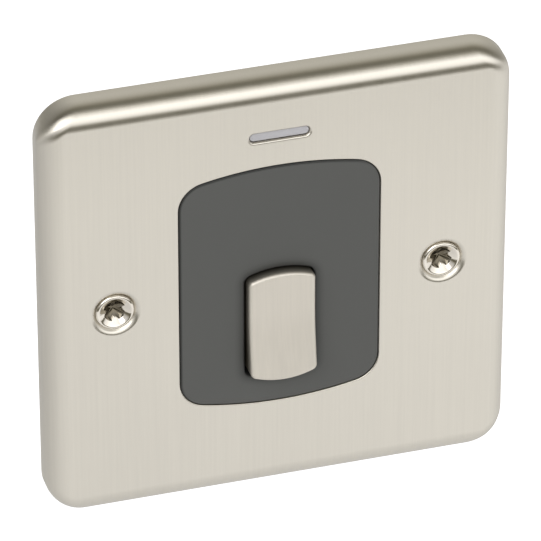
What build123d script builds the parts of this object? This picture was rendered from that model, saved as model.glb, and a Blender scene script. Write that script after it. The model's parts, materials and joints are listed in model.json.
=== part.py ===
from build123d import *

import os
from math import cos, isclose, radians, sin, sqrt, tan

# A flush double pole wall switch with a pilot lamp, in millimetres.
# +Z is up, +X is to the right of someone facing the switch, and +Y points into the wall.
# The origin is on the wall plane, midway between the two fixing screws.

# Front plate
PLATE_SIZE = 86.0
PLATE_DEPTH = 5.9
PLATE_CORNER_R = 7.6
PLATE_EDGE_R = 3.85
SHEET = 1.0
CUT_EDGE_R = 0.2
FIXING_CENTRES = 60.3

# Fixing screws, raised countersunk, sunk in soft-lipped dimples
FIXING_SHANK_R = 1.75
FIXING_NECK_R = 1.5
FIXING_HEAD_R = 3.6
FIXING_DOME = 1.05
FIXING_SINK = 0.8
FIXING_LENGTH = 25.0
FIXING_HOLE_CLEAR = 0.3
SEAT_CLEAR = 0.06
DIMPLE_LIP_R = 2.0
CROSS_SPAN = 4.2
CROSS_SLOT = 1.2
CROSS_DEPTH = 1.7
CROSS_TURN = 40.0

# Insert and its window in the plate
WINDOW_WIDTH = 37.1
WINDOW_TOP = 17.25
WINDOW_FOOT = 24.45
WINDOW_END_R = 70.0
WINDOW_CORNER_R = 5.5
INSERT_GAP = 0.12
INSERT_RECESS = 0.15
INSERT_EDGE_R = 0.3
FLANGE_MARGIN = 2.5
FLANGE_T = 1.9

# Rocker
ROCKER_WIDTH = 12.3
ROCKER_LENGTH = 22.0
ROCKER_END_R = 15.5
ROCKER_CORNER_R = 1.2
ROCKER_EDGE_R = 0.7
ROCKER_PROUD = 1.9
ROCKER_TILT = 3.9
ROCKER_DISH_R = 40.0
ROCKER_RISE = 16.8
ROCKER_SIDE_GAP = 0.3
ROCKER_END_GAP = 0.72
CAP_HEIGHT = 6.05
CAP_WALL = 0.6
CAP_FIT = 0.05

# Rocker body
PIVOT_SETBACK = 1.6
TRUNNION_R = 1.5
TRUNNION_CLEAR = 0.05
TRUNNION_END_CLEAR = 0.3
CROSSBAR_HALF = 2.3
CROSSBAR_FRONT = 1.2
CROSSBAR_BACK = 2.2
CROSSBAR_END_CLEAR = 0.9
SHUTTER_T = 1.0
SHUTTER_LAP = 1.0
POCKET_R = 2.6
POCKET_BORE_R = 1.6
POCKET_LENGTH = 5.6
POCKET_END_WALL = 0.8

# Springs and plungers
POLE_X = 9.0
PLUNGER_CLEAR = 0.08
PLUNGER_GUIDE = 2.6
PLUNGER_NOSE_R = 1.1
PLUNGER_REACH = 9.4
PLUNGER_GAP = 0.15
SPRING_SPACE = 3.5
SPRING_WIRE_R = 0.2
SPRING_WIRE_SIDES = 6
SPRING_MEAN_R = 1.15
SPRING_TURNS = 4
SPRING_SEAT_CLEAR = 0.03

# Contact arms
ARM_TILT = 7.8
ARM_WIDTH = 5.0
ARM_T = 1.2
ARM_BACK = 0.9
ARM_CONTACT_LENGTH = 13.0
ARM_TAIL_LENGTH = 8.0
ARM_SADDLE_HALF = 1.9
ARM_SADDLE_BACK = 0.15
FULCRUM_R = 1.0
FULCRUM_CLEAR = 0.05
CONTACT_LEVER = 11.0
MOVING_TIP_R = 1.8
MOVING_TIP_T = 0.4
MOVING_TIP_DOME = 0.4
FIXED_TIP_R = 2.0
FIXED_TIP_T = 0.8
CLOSED_GAP = 0.05

# Terminals
STRIP_T = 1.2
STRIP_WIDTH = 5.0
STRIP_LAP = 0.4
BLOCK_WIDTH = 8.6
BLOCK_HEIGHT = 9.0
BLOCK_DEPTH = 8.0
BLOCK_SINK = 2.0
BLOCK_EDGE = 0.4
BLOCK_SIDE_CLEAR = 0.2
WIRE_BORE_R = 2.1
WIRE_WALL = 1.2
TERMINAL_OFFSET = 18.9
CLAMP_SHANK_R = 1.9
CLAMP_HEAD_R = 2.8
CLAMP_HEAD_T = 2.1
CLAMP_SLOT = 0.8
CLAMP_SLOT_DEPTH = 1.0
CLAMP_TIP_CLEAR = 0.2
CLAMP_STANDOFF = 0.3
THREAD_CLEAR = 0.05

# Carrier
CARRIER_GAP = 0.3
CARRIER_T = 2.4
CARRIER_EDGE = 0.5
CARRIER_WINDOW_MARGIN = 0.5
LIP_T = 1.8
LIP_INSET = 0.5
COLLAR_T = 2.6
PILLAR_R = 3.2
PILLAR_HEIGHT = 3.0
POST_R = 1.6
POST_X = 2.2

# Plate studs and the carrier screws
STUD_INSET = 12.0
STUD_R = 2.1
STUD_CLEAR = 0.2
STUD_WEB = 0.8
CARRIER_SCREW_R = 1.2
CARRIER_SCREW_DEPTH = 2.0
CARRIER_HEAD_R = 2.4
CARRIER_HEAD_T = 1.2

# Switch base
BAY_CLEAR = 0.2
BASE_WALL = 1.9
BASE_END_WALL = 1.6
BASE_END_MARGIN = 2.0
BASE_FLOOR = 1.7
BASE_CORNER_R = 1.5
ISLAND_WALL = 1.5
THROW_CLEAR = 1.2
TERMINAL_ZONE_MARGIN = 1.5
ACCESS_CLEAR = 0.3
EAR_T = 2.4
EAR_R = 4.0
EAR_OFFSET = 4.0
EAR_Z = 19.0
BASE_SCREW_R = 1.4
BASE_SCREW_GRIP = 4.4
BASE_SCREW_END_CLEAR = 0.3
BASE_HEAD_R = 2.7
BASE_HEAD_T = 1.7
SCREW_CLEAR = 0.2

# Earth strap and terminal
EARTH_OFFSET = 8.1
EARTH_DROP = 16.8
EARTH_STRAP_T = 1.0
EARTH_STRAP_WIDTH = 7.0
EARTH_FOOT = 7.0
EARTH_LAP = 5.0
EARTH_SLOT_CLEAR = 0.2
EARTH_FENCE_T = 1.4
EARTH_FENCE_HEIGHT = 3.0

# Pilot lamp
PILOT_DROP = 11.1
SLOT_WIDTH = 11.3
SLOT_HEIGHT = 2.1
LENS_GAP = 0.08
LENS_RECESS = 0.45
LENS_MARGIN = 1.3
GUIDE_DEPTH = 1.1
GUIDE_MARGIN = 0.6
GUIDE_CLEAR = 0.2
BOARD_WIDTH = 25.0
BOARD_HEIGHT = 10.5
BOARD_T = 1.0
LAMP_WIDTH = 3.2
LAMP_HEIGHT = 2.4
LAMP_T = 1.0
RESISTOR_R = 1.1
RESISTOR_LENGTH = 6.0
DIODE_R = 0.95
DIODE_LENGTH = 4.2
COMPONENT_X = 5.6
COMPONENT_RISE = 2.6
COMPONENT_LIFT = 0.1
LEG_R = 0.3
LEG_REACH = 0.9
COVER_DEPTH = 5.2
COVER_WALL = 1.2
COVER_CLEAR = 0.3
COVER_CORNER_R = 1.5
PEG_R = 1.1
PEG_LENGTH = 2.0
PEG_CLEAR = 0.04
PEG_TAB_R = 2.2
PEG_TAB_T = 1.4
PEG_OFFSET = 2.4
LEAD_R = 0.65
LEAD_X = 6.6
LEAD_BEND_R = 4.0
LEAD_NOTCH_CLEAR = 0.2
LEAD_ON_BOARD = 3.2

# Levels along Y, from the front of the plate to the back of the base
FACE_Y = -PLATE_DEPTH
HEAD_Y = FACE_Y + FIXING_SINK
SHEET_BACK_Y = FACE_Y + SHEET
FIXING_HOLE_R = FIXING_SHANK_R + FIXING_HOLE_CLEAR
DIMPLE_R = FIXING_HEAD_R + SEAT_CLEAR + FIXING_SINK
DIMPLE_BACK_Y = FACE_Y + DIMPLE_R - FIXING_HOLE_R
FLANGE_BACK_Y = SHEET_BACK_Y + FLANGE_T
CARRIER_BACK_Y = FLANGE_BACK_Y + CARRIER_T
PIVOT_Y = CARRIER_BACK_Y + PIVOT_SETBACK
ARM_FRONT = ARM_BACK + ARM_T
FULCRUM_Y = PIVOT_Y + PLUNGER_REACH + PLUNGER_GAP + ARM_FRONT
TIP_SPHERE_R = (MOVING_TIP_R**2 + MOVING_TIP_DOME**2) / (2 * MOVING_TIP_DOME)
TIP_CENTRE = ARM_BACK - MOVING_TIP_T - MOVING_TIP_DOME + TIP_SPHERE_R
CLOSED_TIP_U = CONTACT_LEVER * cos(radians(ARM_TILT)) + TIP_CENTRE * sin(radians(ARM_TILT))
CLOSED_TIP_W = TIP_CENTRE * cos(radians(ARM_TILT)) - CONTACT_LEVER * sin(radians(ARM_TILT)) - TIP_SPHERE_R
FIXED_TIP_Y = FULCRUM_Y - CLOSED_TIP_W + CLOSED_GAP
STRIP_Y = FIXED_TIP_Y + FIXED_TIP_T
FLOOR_Y = STRIP_Y + STRIP_T
BLOCK_BACK_Y = FLOOR_Y + BLOCK_SINK
BLOCK_Y = BLOCK_BACK_Y - BLOCK_DEPTH
CLAMP_HEAD_Y = BLOCK_BACK_Y + CLAMP_STANDOFF
BASE_BACK_Y = CLAMP_HEAD_Y + CLAMP_HEAD_T
EAR_Y = CARRIER_BACK_Y + PILLAR_HEIGHT
BOARD_BACK_Y = CARRIER_BACK_Y + BOARD_T
LEAD_Y = BOARD_BACK_Y + LEAD_R

# Places in the plane of the plate
# The window and the lamp hang from the plate's top edge, and the rocker stands on the window's foot.
PLATE_HALF = PLATE_SIZE / 2
FIXING_X = FIXING_CENTRES / 2
STUD_SPACING = PLATE_SIZE - 2 * STUD_INSET
WINDOW_HEIGHT = PLATE_HALF - WINDOW_TOP + WINDOW_FOOT
WINDOW_Z = (PLATE_HALF - WINDOW_TOP - WINDOW_FOOT) / 2
PILOT_Z = PLATE_HALF - PILOT_DROP
PIVOT_Z = ROCKER_RISE - WINDOW_FOOT
FACE_REACH = (PIVOT_Y - FACE_Y + ROCKER_PROUD) / cos(radians(ROCKER_TILT))
SKIRT_Y = PIVOT_Y - FACE_REACH + CAP_HEIGHT
SHUTTER_END = ROCKER_END_GAP + SHUTTER_LAP
BAY_INNER_X = POLE_X - BLOCK_WIDTH / 2 - BAY_CLEAR
BAY_OUTER_X = POLE_X + BLOCK_WIDTH / 2 + BAY_CLEAR
BASE_HALF_X = BAY_OUTER_X + BASE_WALL
BASE_HALF_Z = TERMINAL_OFFSET + BLOCK_HEIGHT / 2 + BASE_END_MARGIN
EAR_X = BASE_HALF_X + EAR_OFFSET
SUPPLY_Z = PIVOT_Z - TERMINAL_OFFSET
LOAD_Z = PIVOT_Z + TERMINAL_OFFSET
FIXED_TIP_Z = PIVOT_Z + CLOSED_TIP_U
GUIDE_WIDTH = SLOT_WIDTH - 2 * GUIDE_MARGIN
GUIDE_HEIGHT = SLOT_HEIGHT + 2 * GUIDE_MARGIN
EARTH_X = -EAR_X - EARTH_OFFSET
EARTH_Z = PLATE_HALF - EARTH_DROP - BLOCK_HEIGHT
EARTH_BLOCK_Z = EARTH_Z + BLOCK_HEIGHT / 2

POLES = {"line": POLE_X, "neutral": -POLE_X}
BOTH_SIDES = (-1, 1)


def barrel(width, height, end_r, corner_r):
    """An upright outline with straight sides and bowed ends."""
    half_w, half_h = width / 2, height / 2
    shoulder = half_h - end_r + sqrt(end_r**2 - half_w**2)
    with BuildSketch() as outline:
        with BuildLine():
            Line((-half_w, -shoulder), (-half_w, shoulder))
            ThreePointArc((-half_w, shoulder), (0, half_h), (half_w, shoulder))
            Line((half_w, shoulder), (half_w, -shoulder))
            ThreePointArc((half_w, -shoulder), (0, -half_h), (-half_w, -shoulder))
        make_face()
        fillet(outline.vertices(), corner_r)
    return outline.sketch


def window_outline(grow):
    """The insert's barrel outline, grown by the same amount all round."""
    return barrel(
        WINDOW_WIDTH + 2 * grow, WINDOW_HEIGHT + 2 * grow, WINDOW_END_R + grow, WINDOW_CORNER_R + grow
    )


def rocker_outline(side, end):
    """The rocker's outline, grown at its sides and its ends."""
    return barrel(
        ROCKER_WIDTH + 2 * side, ROCKER_LENGTH + 2 * end, ROCKER_END_R + side, ROCKER_CORNER_R + side
    )


def slab(face, y_front, y_back, x=0.0, z=0.0):
    """A flat outline seen from the front, extruded from one level to another."""
    back = Plane((x, y_back, z), x_dir=(1, 0, 0), z_dir=(0, -1, 0))
    return extrude(back * face, amount=y_back - y_front)


def block(x_range, y_range, z_range):
    """A box between limits."""
    (x0, x1), (y0, y1), (z0, z1) = x_range, y_range, z_range
    return slab(Rectangle(x1 - x0, z1 - z0), y0, y1, (x0 + x1) / 2, (z0 + z1) / 2)


def rod(radius, y_front, y_back, x, z):
    """A round bar along Y."""
    return slab(Circle(radius), y_front, y_back, x, z)


def axle(radius, x_from, x_to, y, z):
    """A round bar along X."""
    return extrude(Plane((x_from, y, z), z_dir=(1, 0, 0)) * Circle(radius), amount=x_to - x_from)


def drill(radius, z_from, z_to, x, y):
    """A round bar along Z."""
    return extrude(Plane((x, y, z_from)) * Circle(radius), amount=z_to - z_from)


def cone(r_front, r_back, y_front, y_back, x, z):
    """A cone along Y."""
    middle = Pos(x, (y_front + y_back) / 2, z)
    return middle * Rot(90, 0, 0) * Cone(r_back, r_front, y_back - y_front)


def along_x(profile, x_from, x_to):
    """A profile in the Y and Z of the row, extruded along X."""
    return extrude(Plane((x_from, 0, 0), x_dir=(0, 1, 0), z_dir=(1, 0, 0)) * profile, amount=x_to - x_from)


def turn(shape, angle, y, z):
    """The shape turned about an axis along X."""
    return Pos(0, y, z) * Rot(angle, 0, 0) * Pos(0, -y, -z) * shape


def corners(spacing):
    """The four corners of a square around the origin, as X and Z."""
    return [(x * spacing / 2, z * spacing / 2) for x in BOTH_SIDES for z in BOTH_SIDES]


def rear_screw(head_r, head_t, shank_r, length, y, x, z):
    """A slotted screw driven from the back, with its head standing on the level y."""
    head = rod(head_r, y, y + head_t, x, z)
    shank = rod(shank_r, y - length, y, x, z)
    slot = block(
        (x - head_r, x + head_r),
        (y + head_t - CLAMP_SLOT_DEPTH, y + head_t),
        (z - CLAMP_SLOT / 2, z + CLAMP_SLOT / 2),
    )
    return head + shank - slot


def plate_shell(inset):
    """The plate's rounded block, shrunk by one sheet thickness for its hollow."""
    side = PLATE_SIZE - 2 * inset
    outline = RectangleRounded(side, side, PLATE_CORNER_R - inset)
    solid = slab(outline, FACE_Y + inset, 0)
    rim = solid.faces().sort_by(Axis.Y)[0].edges()
    return fillet(rim, PLATE_EDGE_R - inset)


def front_plate():
    """Pressed plate with a turned rim, two dimples, the insert's window and the lamp slot."""
    plate = plate_shell(0) - plate_shell(SHEET)
    window = slab(window_outline(0), FACE_Y, SHEET_BACK_Y, z=WINDOW_Z)
    slot = slab(SlotOverall(SLOT_WIDTH, SLOT_HEIGHT), FACE_Y, SHEET_BACK_Y, z=PILOT_Z)
    plate = plate - window - slot
    face = plate.faces().sort_by(Axis.Y)[0]
    plate = fillet([edge for wire in face.inner_wires() for edge in wire.edges()], CUT_EDGE_R)
    skin = SHEET * sqrt(2)
    back_r = DIMPLE_R + skin - SHEET
    for side in BOTH_SIDES:
        x = side * FIXING_X
        plate += cone(back_r, FIXING_HOLE_R + skin, SHEET_BACK_Y, DIMPLE_BACK_Y, x, 0) - rod(
            FIXING_HOLE_R, SHEET_BACK_Y, DIMPLE_BACK_Y, x, 0
        )
        plate -= cone(DIMPLE_R, FIXING_HOLE_R, FACE_Y, DIMPLE_BACK_Y, x, 0)
    face = plate.faces().sort_by(Axis.Y)[0]
    lips = [edge for edge in face.edges().filter_by(GeomType.CIRCLE) if isclose(edge.radius, DIMPLE_R)]
    return fillet(lips, DIMPLE_LIP_R)


def plate_studs():
    """Threaded pillars welded to the back of the plate."""
    back = CARRIER_BACK_Y - STUD_WEB
    thread_r = CARRIER_SCREW_R + THREAD_CLEAR
    thread_end = CARRIER_BACK_Y - STUD_WEB - CARRIER_SCREW_DEPTH
    return [
        rod(STUD_R, SHEET_BACK_Y, back, x, z) - rod(thread_r, thread_end, back, x, z)
        for x, z in corners(STUD_SPACING)
    ]


def carrier_screws():
    """Screws that hold the carrier to the plate's studs."""
    length = STUD_WEB + CARRIER_SCREW_DEPTH
    return [
        rear_screw(CARRIER_HEAD_R, CARRIER_HEAD_T, CARRIER_SCREW_R, length, CARRIER_BACK_Y, x, z)
        for x, z in corners(STUD_SPACING)
    ]


def fixing_screw(x):
    """Raised countersunk captive screw with a thin neck and a thread behind the wall plane."""
    cone_back = HEAD_Y + FIXING_HEAD_R - FIXING_NECK_R
    seat = cone(FIXING_HEAD_R, FIXING_NECK_R, HEAD_Y, cone_back, x, 0)
    shank = rod(FIXING_NECK_R, cone_back, 0, x, 0) + rod(FIXING_SHANK_R, 0, HEAD_Y + FIXING_LENGTH, x, 0)
    dome_r = (FIXING_HEAD_R**2 + FIXING_DOME**2) / (2 * FIXING_DOME)
    front, back = HEAD_Y - FIXING_DOME, HEAD_Y - FIXING_DOME + CROSS_DEPTH
    ball = Pos(x, front + dome_r, 0) * Sphere(dome_r)
    dome = ball & rod(FIXING_HEAD_R, front, HEAD_Y, x, 0)
    wide, narrow = CROSS_SPAN / 2, CROSS_SLOT / 2
    cross = block((-wide, wide), (front, back), (-narrow, narrow))
    cross += block((-narrow, narrow), (front, back), (-wide, wide))
    return seat + shank + dome - Pos(x, 0, 0) * Rot(0, CROSS_TURN, 0) * cross


def insert():
    """Grey moulding that fills the plate's window, with a flange trapped behind the plate."""
    front = FACE_Y + INSERT_RECESS
    face = slab(window_outline(-INSERT_GAP), front, SHEET_BACK_Y, z=WINDOW_Z)
    flange = slab(window_outline(FLANGE_MARGIN), SHEET_BACK_Y, FLANGE_BACK_Y, z=WINDOW_Z)
    mouth = rocker_outline(ROCKER_SIDE_GAP, ROCKER_END_GAP)
    body = face + flange - slab(mouth, front, FLANGE_BACK_Y, z=PIVOT_Z)
    return fillet(body.faces().sort_by(Axis.Y)[0].edges(), INSERT_EDGE_R)


def dish(reach):
    """Everything in front of the rocker's dished face, whose middle is this far from the pivot."""
    half = ROCKER_LENGTH
    rise = half * tan(radians(ROCKER_TILT))
    middle = (PIVOT_Y - reach, PIVOT_Z)
    lower = (PIVOT_Y - reach - rise, PIVOT_Z - half)
    upper = (PIVOT_Y - reach - rise, PIVOT_Z + half)
    far = PIVOT_Y - reach - rise - CAP_HEIGHT
    with BuildSketch() as profile:
        with BuildLine():
            FilletPolyline(lower, middle, upper, radius=ROCKER_DISH_R)
            Polyline(upper, (far, PIVOT_Z + half), (far, PIVOT_Z - half), lower)
        make_face()
    return along_x(profile.sketch, -ROCKER_WIDTH, ROCKER_WIDTH)


def rocker_column(shrink, reach, y_back):
    """The rocker's outline taken from its dished face to a level behind it."""
    far = PIVOT_Y - reach - ROCKER_LENGTH * tan(radians(ROCKER_TILT))
    return slab(rocker_outline(-shrink, -shrink), far, y_back, z=PIVOT_Z) - dish(reach)


def rocker_cap():
    """Metal shell with a dished face, seen at the middle of its throw."""
    shell = rocker_column(0, FACE_REACH, SKIRT_Y)
    top = [face for face in shell.faces() if face.normal_at().Y < -cos(radians(2 * ROCKER_TILT))]
    rim = [edge for edge in shell.edges() if sum(edge in face.edges() for face in top) == 1]
    shell = fillet(rim, ROCKER_EDGE_R)
    return shell - rocker_column(CAP_WALL, FACE_REACH - CAP_WALL, SKIRT_Y)


def rocker_body():
    """Moulded dolly: stem, shutter behind the insert, crossbar, trunnions and two spring pockets."""
    front, back = PIVOT_Y - CROSSBAR_FRONT, PIVOT_Y + CROSSBAR_BACK
    bar_z = (PIVOT_Z - CROSSBAR_HALF, PIVOT_Z + CROSSBAR_HALF)
    shrink = CAP_WALL + CAP_FIT
    neck_half = ROCKER_WIDTH / 2 - shrink
    bar_half = BAY_OUTER_X - CROSSBAR_END_CLEAR
    trunnion_end = BASE_HALF_X - TRUNNION_END_CLEAR
    body = rocker_column(shrink, FACE_REACH - shrink, SKIRT_Y)
    body += slab(rocker_outline(ROCKER_SIDE_GAP, SHUTTER_END), SKIRT_Y, SKIRT_Y + SHUTTER_T, z=PIVOT_Z)
    body += block((-neck_half, neck_half), (SKIRT_Y, back), bar_z)
    body += block((-bar_half, bar_half), (front, back), bar_z)
    body += axle(TRUNNION_R, -trunnion_end, trunnion_end, PIVOT_Y, PIVOT_Z)
    for x in POLES.values():
        body += rod(POCKET_R, front, front + POCKET_LENGTH, x, PIVOT_Z)
        body -= rod(POCKET_BORE_R, front + POCKET_END_WALL, front + POCKET_LENGTH, x, PIVOT_Z)
    return body


def plunger(x):
    """Round-nosed plunger that slides in a spring pocket."""
    tail = PIVOT_Y - CROSSBAR_FRONT + POCKET_END_WALL + SPRING_SPACE
    tip = PIVOT_Y + PLUNGER_REACH
    guide = rod(POCKET_BORE_R - PLUNGER_CLEAR, tail, tail + PLUNGER_GUIDE, x, PIVOT_Z)
    nose = rod(PLUNGER_NOSE_R, tail, tip - PLUNGER_NOSE_R, x, PIVOT_Z)
    return guide + nose + Pos(x, tip - PLUNGER_NOSE_R, PIVOT_Z) * Sphere(PLUNGER_NOSE_R)


def spring(x):
    """Compression spring between the pocket's end and the plunger, of wire with a few flat sides."""
    seat = SPRING_WIRE_R + SPRING_SEAT_CLEAR
    height = SPRING_SPACE - 2 * seat
    start = PIVOT_Y - CROSSBAR_FRONT + POCKET_END_WALL + seat
    path = Helix(
        pitch=height / SPRING_TURNS,
        height=height,
        radius=SPRING_MEAN_R,
        center=(x, start, PIVOT_Z),
        direction=(0, 1, 0),
    )
    section = RegularPolygon(SPRING_WIRE_R, SPRING_WIRE_SIDES)
    return sweep(Plane(path @ 0, z_dir=path % 0) * section, path=path, is_frenet=True)


def at_rest(shape):
    """A piece of the rocker, turned from the middle of its throw to the off position."""
    return turn(shape, -ROCKER_TILT, PIVOT_Y, PIVOT_Z)


def contact_arm(x):
    """See-saw arm with a round saddle over its fulcrum, in the off position."""
    left, right = x - ARM_WIDTH / 2, x + ARM_WIDTH / 2
    y_front, y_back = FULCRUM_Y - ARM_FRONT, FULCRUM_Y - ARM_BACK
    z_range = (PIVOT_Z - ARM_TAIL_LENGTH, PIVOT_Z + ARM_CONTACT_LENGTH)
    arm = block((left, right), (y_front, y_back), z_range)
    arm += block(
        (left, right),
        (y_back, FULCRUM_Y - ARM_SADDLE_BACK),
        (PIVOT_Z - ARM_SADDLE_HALF, PIVOT_Z + ARM_SADDLE_HALF),
    )
    arm -= axle(FULCRUM_R + FULCRUM_CLEAR, left, right, FULCRUM_Y, PIVOT_Z)
    return turn(arm, ARM_TILT, FULCRUM_Y, PIVOT_Z)


def moving_contact(x):
    """Domed silver tip on the back of a contact arm, in the off position."""
    z = PIVOT_Z + CONTACT_LEVER
    seat_y = FULCRUM_Y - ARM_BACK
    edge_y = seat_y + MOVING_TIP_T
    ball = Pos(x, FULCRUM_Y - TIP_CENTRE, z) * Sphere(TIP_SPHERE_R)
    dome = ball & rod(MOVING_TIP_R, edge_y, edge_y + MOVING_TIP_DOME, x, z)
    return turn(rod(MOVING_TIP_R, seat_y, edge_y, x, z) + dome, ARM_TILT, FULCRUM_Y, PIVOT_Z)


def fixed_contact(x):
    """Flat silver tip on a load strip."""
    return rod(FIXED_TIP_R, FIXED_TIP_Y, STRIP_Y, x, FIXED_TIP_Z)


def wire_bore(x, z, y_front):
    """The round hole along Z for a bared wire in a block with this front."""
    half = BLOCK_HEIGHT / 2
    return drill(WIRE_BORE_R, z - half, z + half, x, y_front + WIRE_WALL + WIRE_BORE_R)


def pillar_block(x, z, y_front):
    """Brass block with a round wire bore along Z and a clamp hole from the back."""
    y_back = y_front + BLOCK_DEPTH
    body = block(
        (x - BLOCK_WIDTH / 2, x + BLOCK_WIDTH / 2),
        (y_front, y_back),
        (z - BLOCK_HEIGHT / 2, z + BLOCK_HEIGHT / 2),
    )
    body = chamfer(body.edges().filter_by(Axis.Y), BLOCK_EDGE)
    clamp_y = y_front + WIRE_WALL + WIRE_BORE_R
    return body - wire_bore(x, z, y_front) - rod(CLAMP_SHANK_R + THREAD_CLEAR, clamp_y, y_back, x, z)


def clamp_screw(x, z, block_y):
    """Slotted clamp screw, backed off so that the wire bore is clear."""
    head_y = block_y + BLOCK_DEPTH + CLAMP_STANDOFF
    tip_y = block_y + WIRE_WALL + 2 * WIRE_BORE_R + CLAMP_TIP_CLEAR
    return rear_screw(CLAMP_HEAD_R, CLAMP_HEAD_T, CLAMP_SHANK_R, head_y - tip_y, head_y, x, z)


def strip(x, z_from, z_to):
    """Flat strip that lies on the floor of the base."""
    return block((x - STRIP_WIDTH / 2, x + STRIP_WIDTH / 2), (STRIP_Y, FLOOR_Y), (z_from, z_to))


def supply_terminal(x):
    """Terminal block with a strip that carries the fulcrum of a contact arm."""
    block_top = SUPPLY_Z + BLOCK_HEIGHT / 2
    body = pillar_block(x, SUPPLY_Z, BLOCK_Y)
    body += strip(x, block_top - STRIP_LAP, PIVOT_Z + FULCRUM_R) - wire_bore(x, SUPPLY_Z, BLOCK_Y)
    half = STRIP_WIDTH / 2
    body += block((x - half, x + half), (FULCRUM_Y, STRIP_Y), (PIVOT_Z - FULCRUM_R, PIVOT_Z + FULCRUM_R))
    return body + axle(FULCRUM_R, x - half, x + half, FULCRUM_Y, PIVOT_Z)


def load_terminal(x):
    """Terminal block with a strip that carries a fixed contact."""
    block_bottom = LOAD_Z - BLOCK_HEIGHT / 2
    body = strip(x, FIXED_TIP_Z - FIXED_TIP_R, block_bottom + STRIP_LAP) - wire_bore(x, LOAD_Z, BLOCK_Y)
    return body + pillar_block(x, LOAD_Z, BLOCK_Y)


def terminal_screws():
    """The four clamp screws of both poles."""
    return [clamp_screw(x, z, BLOCK_Y) for x, z in terminal_places()]


def carrier():
    """Moulding that fills the plate from behind and carries the base, the lamp and the earth terminal."""
    side = PLATE_SIZE - 2 * (SHEET + CARRIER_GAP)
    panel = slab(
        RectangleRounded(side, side, PLATE_CORNER_R - SHEET - CARRIER_GAP), FLANGE_BACK_Y, CARRIER_BACK_Y
    )
    body = chamfer(panel.faces().sort_by(Axis.Y)[0].edges(), CARRIER_EDGE)
    lip_side = PLATE_SIZE - 2 * (PLATE_EDGE_R + LIP_INSET)
    lip_r = PLATE_CORNER_R - PLATE_EDGE_R
    lip = RectangleRounded(lip_side, lip_side, lip_r + LIP_T)
    lip -= RectangleRounded(lip_side - 2 * LIP_T, lip_side - 2 * LIP_T, lip_r)
    body += slab(lip, SHEET_BACK_Y, FLANGE_BACK_Y)
    for side_x in BOTH_SIDES:
        body += rod(FIXING_HOLE_R + COLLAR_T, DIMPLE_BACK_Y, FLANGE_BACK_Y, side_x * FIXING_X, 0)
        body -= rod(FIXING_HOLE_R, DIMPLE_BACK_Y, CARRIER_BACK_Y, side_x * FIXING_X, 0)
    for x, z in corners(STUD_SPACING):
        body -= rod(STUD_R + STUD_CLEAR, FLANGE_BACK_Y, CARRIER_BACK_Y - STUD_WEB, x, z)
        body -= rod(CARRIER_SCREW_R + SCREW_CLEAR, CARRIER_BACK_Y - STUD_WEB, CARRIER_BACK_Y, x, z)
    mouth = rocker_outline(ROCKER_SIDE_GAP + CARRIER_WINDOW_MARGIN, SHUTTER_END + CARRIER_WINDOW_MARGIN)
    body -= slab(mouth, FLANGE_BACK_Y, CARRIER_BACK_Y, z=PIVOT_Z)
    guide_hole = Rectangle(GUIDE_WIDTH + 2 * GUIDE_CLEAR, GUIDE_HEIGHT + 2 * GUIDE_CLEAR)
    body -= slab(guide_hole, FLANGE_BACK_Y, CARRIER_BACK_Y, z=PILOT_Z)
    for side_x in BOTH_SIDES:
        body -= rod(PEG_R + PEG_CLEAR, FLANGE_BACK_Y, CARRIER_BACK_Y, side_x * peg_x(), PILOT_Z)
    for x, z in ear_places():
        body += rod(PILLAR_R, CARRIER_BACK_Y, EAR_Y, x, z)
        hole_end = EAR_Y - BASE_SCREW_GRIP - BASE_SCREW_END_CLEAR
        body -= rod(BASE_SCREW_R + THREAD_CLEAR, hole_end, EAR_Y, x, z)
    for x, z in terminal_places():
        post_x = x + POST_X if x > 0 else x - POST_X
        body += rod(POST_R, CARRIER_BACK_Y, BLOCK_Y, post_x, z)
    return body - earth_slot() + earth_fence()


def ear_places():
    """Where the base is screwed to the carrier, as X and Z."""
    return [(x * EAR_X, PIVOT_Z + z * EAR_Z) for x in BOTH_SIDES for z in BOTH_SIDES]


def terminal_places():
    """The middles of the four terminal blocks, as X and Z."""
    return [(x, z) for x in POLES.values() for z in (SUPPLY_Z, LOAD_Z)]


def earth_slot():
    """Slot in the carrier for the earth strap."""
    half = EARTH_STRAP_WIDTH / 2 + EARTH_SLOT_CLEAR
    return block(
        (EARTH_X - half, EARTH_X + half),
        (FLANGE_BACK_Y, CARRIER_BACK_Y),
        (EARTH_Z - EARTH_STRAP_T - EARTH_SLOT_CLEAR, EARTH_Z + EARTH_SLOT_CLEAR),
    )


def earth_fence():
    """Two walls on the carrier that keep the earth terminal square."""
    inner = BLOCK_WIDTH + 2 * BAY_CLEAR
    plan = Rectangle(inner + 2 * EARTH_FENCE_T, BLOCK_HEIGHT) - Rectangle(inner, BLOCK_HEIGHT)
    return slab(plan, CARRIER_BACK_Y, CARRIER_BACK_Y + EARTH_FENCE_HEIGHT, EARTH_X, EARTH_BLOCK_Z)


def earth_strap():
    """Bent brass strap from the back of the plate to the earth terminal."""
    x_range = (EARTH_X - EARTH_STRAP_WIDTH / 2, EARTH_X + EARTH_STRAP_WIDTH / 2)
    foot_y = (SHEET_BACK_Y, SHEET_BACK_Y + EARTH_STRAP_T)
    foot = block(x_range, foot_y, (EARTH_Z - EARTH_STRAP_T, EARTH_Z + EARTH_FOOT))
    riser = block(x_range, (SHEET_BACK_Y, CARRIER_BACK_Y + EARTH_LAP), (EARTH_Z - EARTH_STRAP_T, EARTH_Z))
    return foot + riser


def earth_terminal():
    """Brass pillar terminal for the earth wire, on the back of the carrier."""
    return pillar_block(EARTH_X, EARTH_BLOCK_Z, CARRIER_BACK_Y)


def earth_screw():
    """Clamp screw of the earth terminal."""
    return clamp_screw(EARTH_X, EARTH_BLOCK_Z, CARRIER_BACK_Y)


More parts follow.
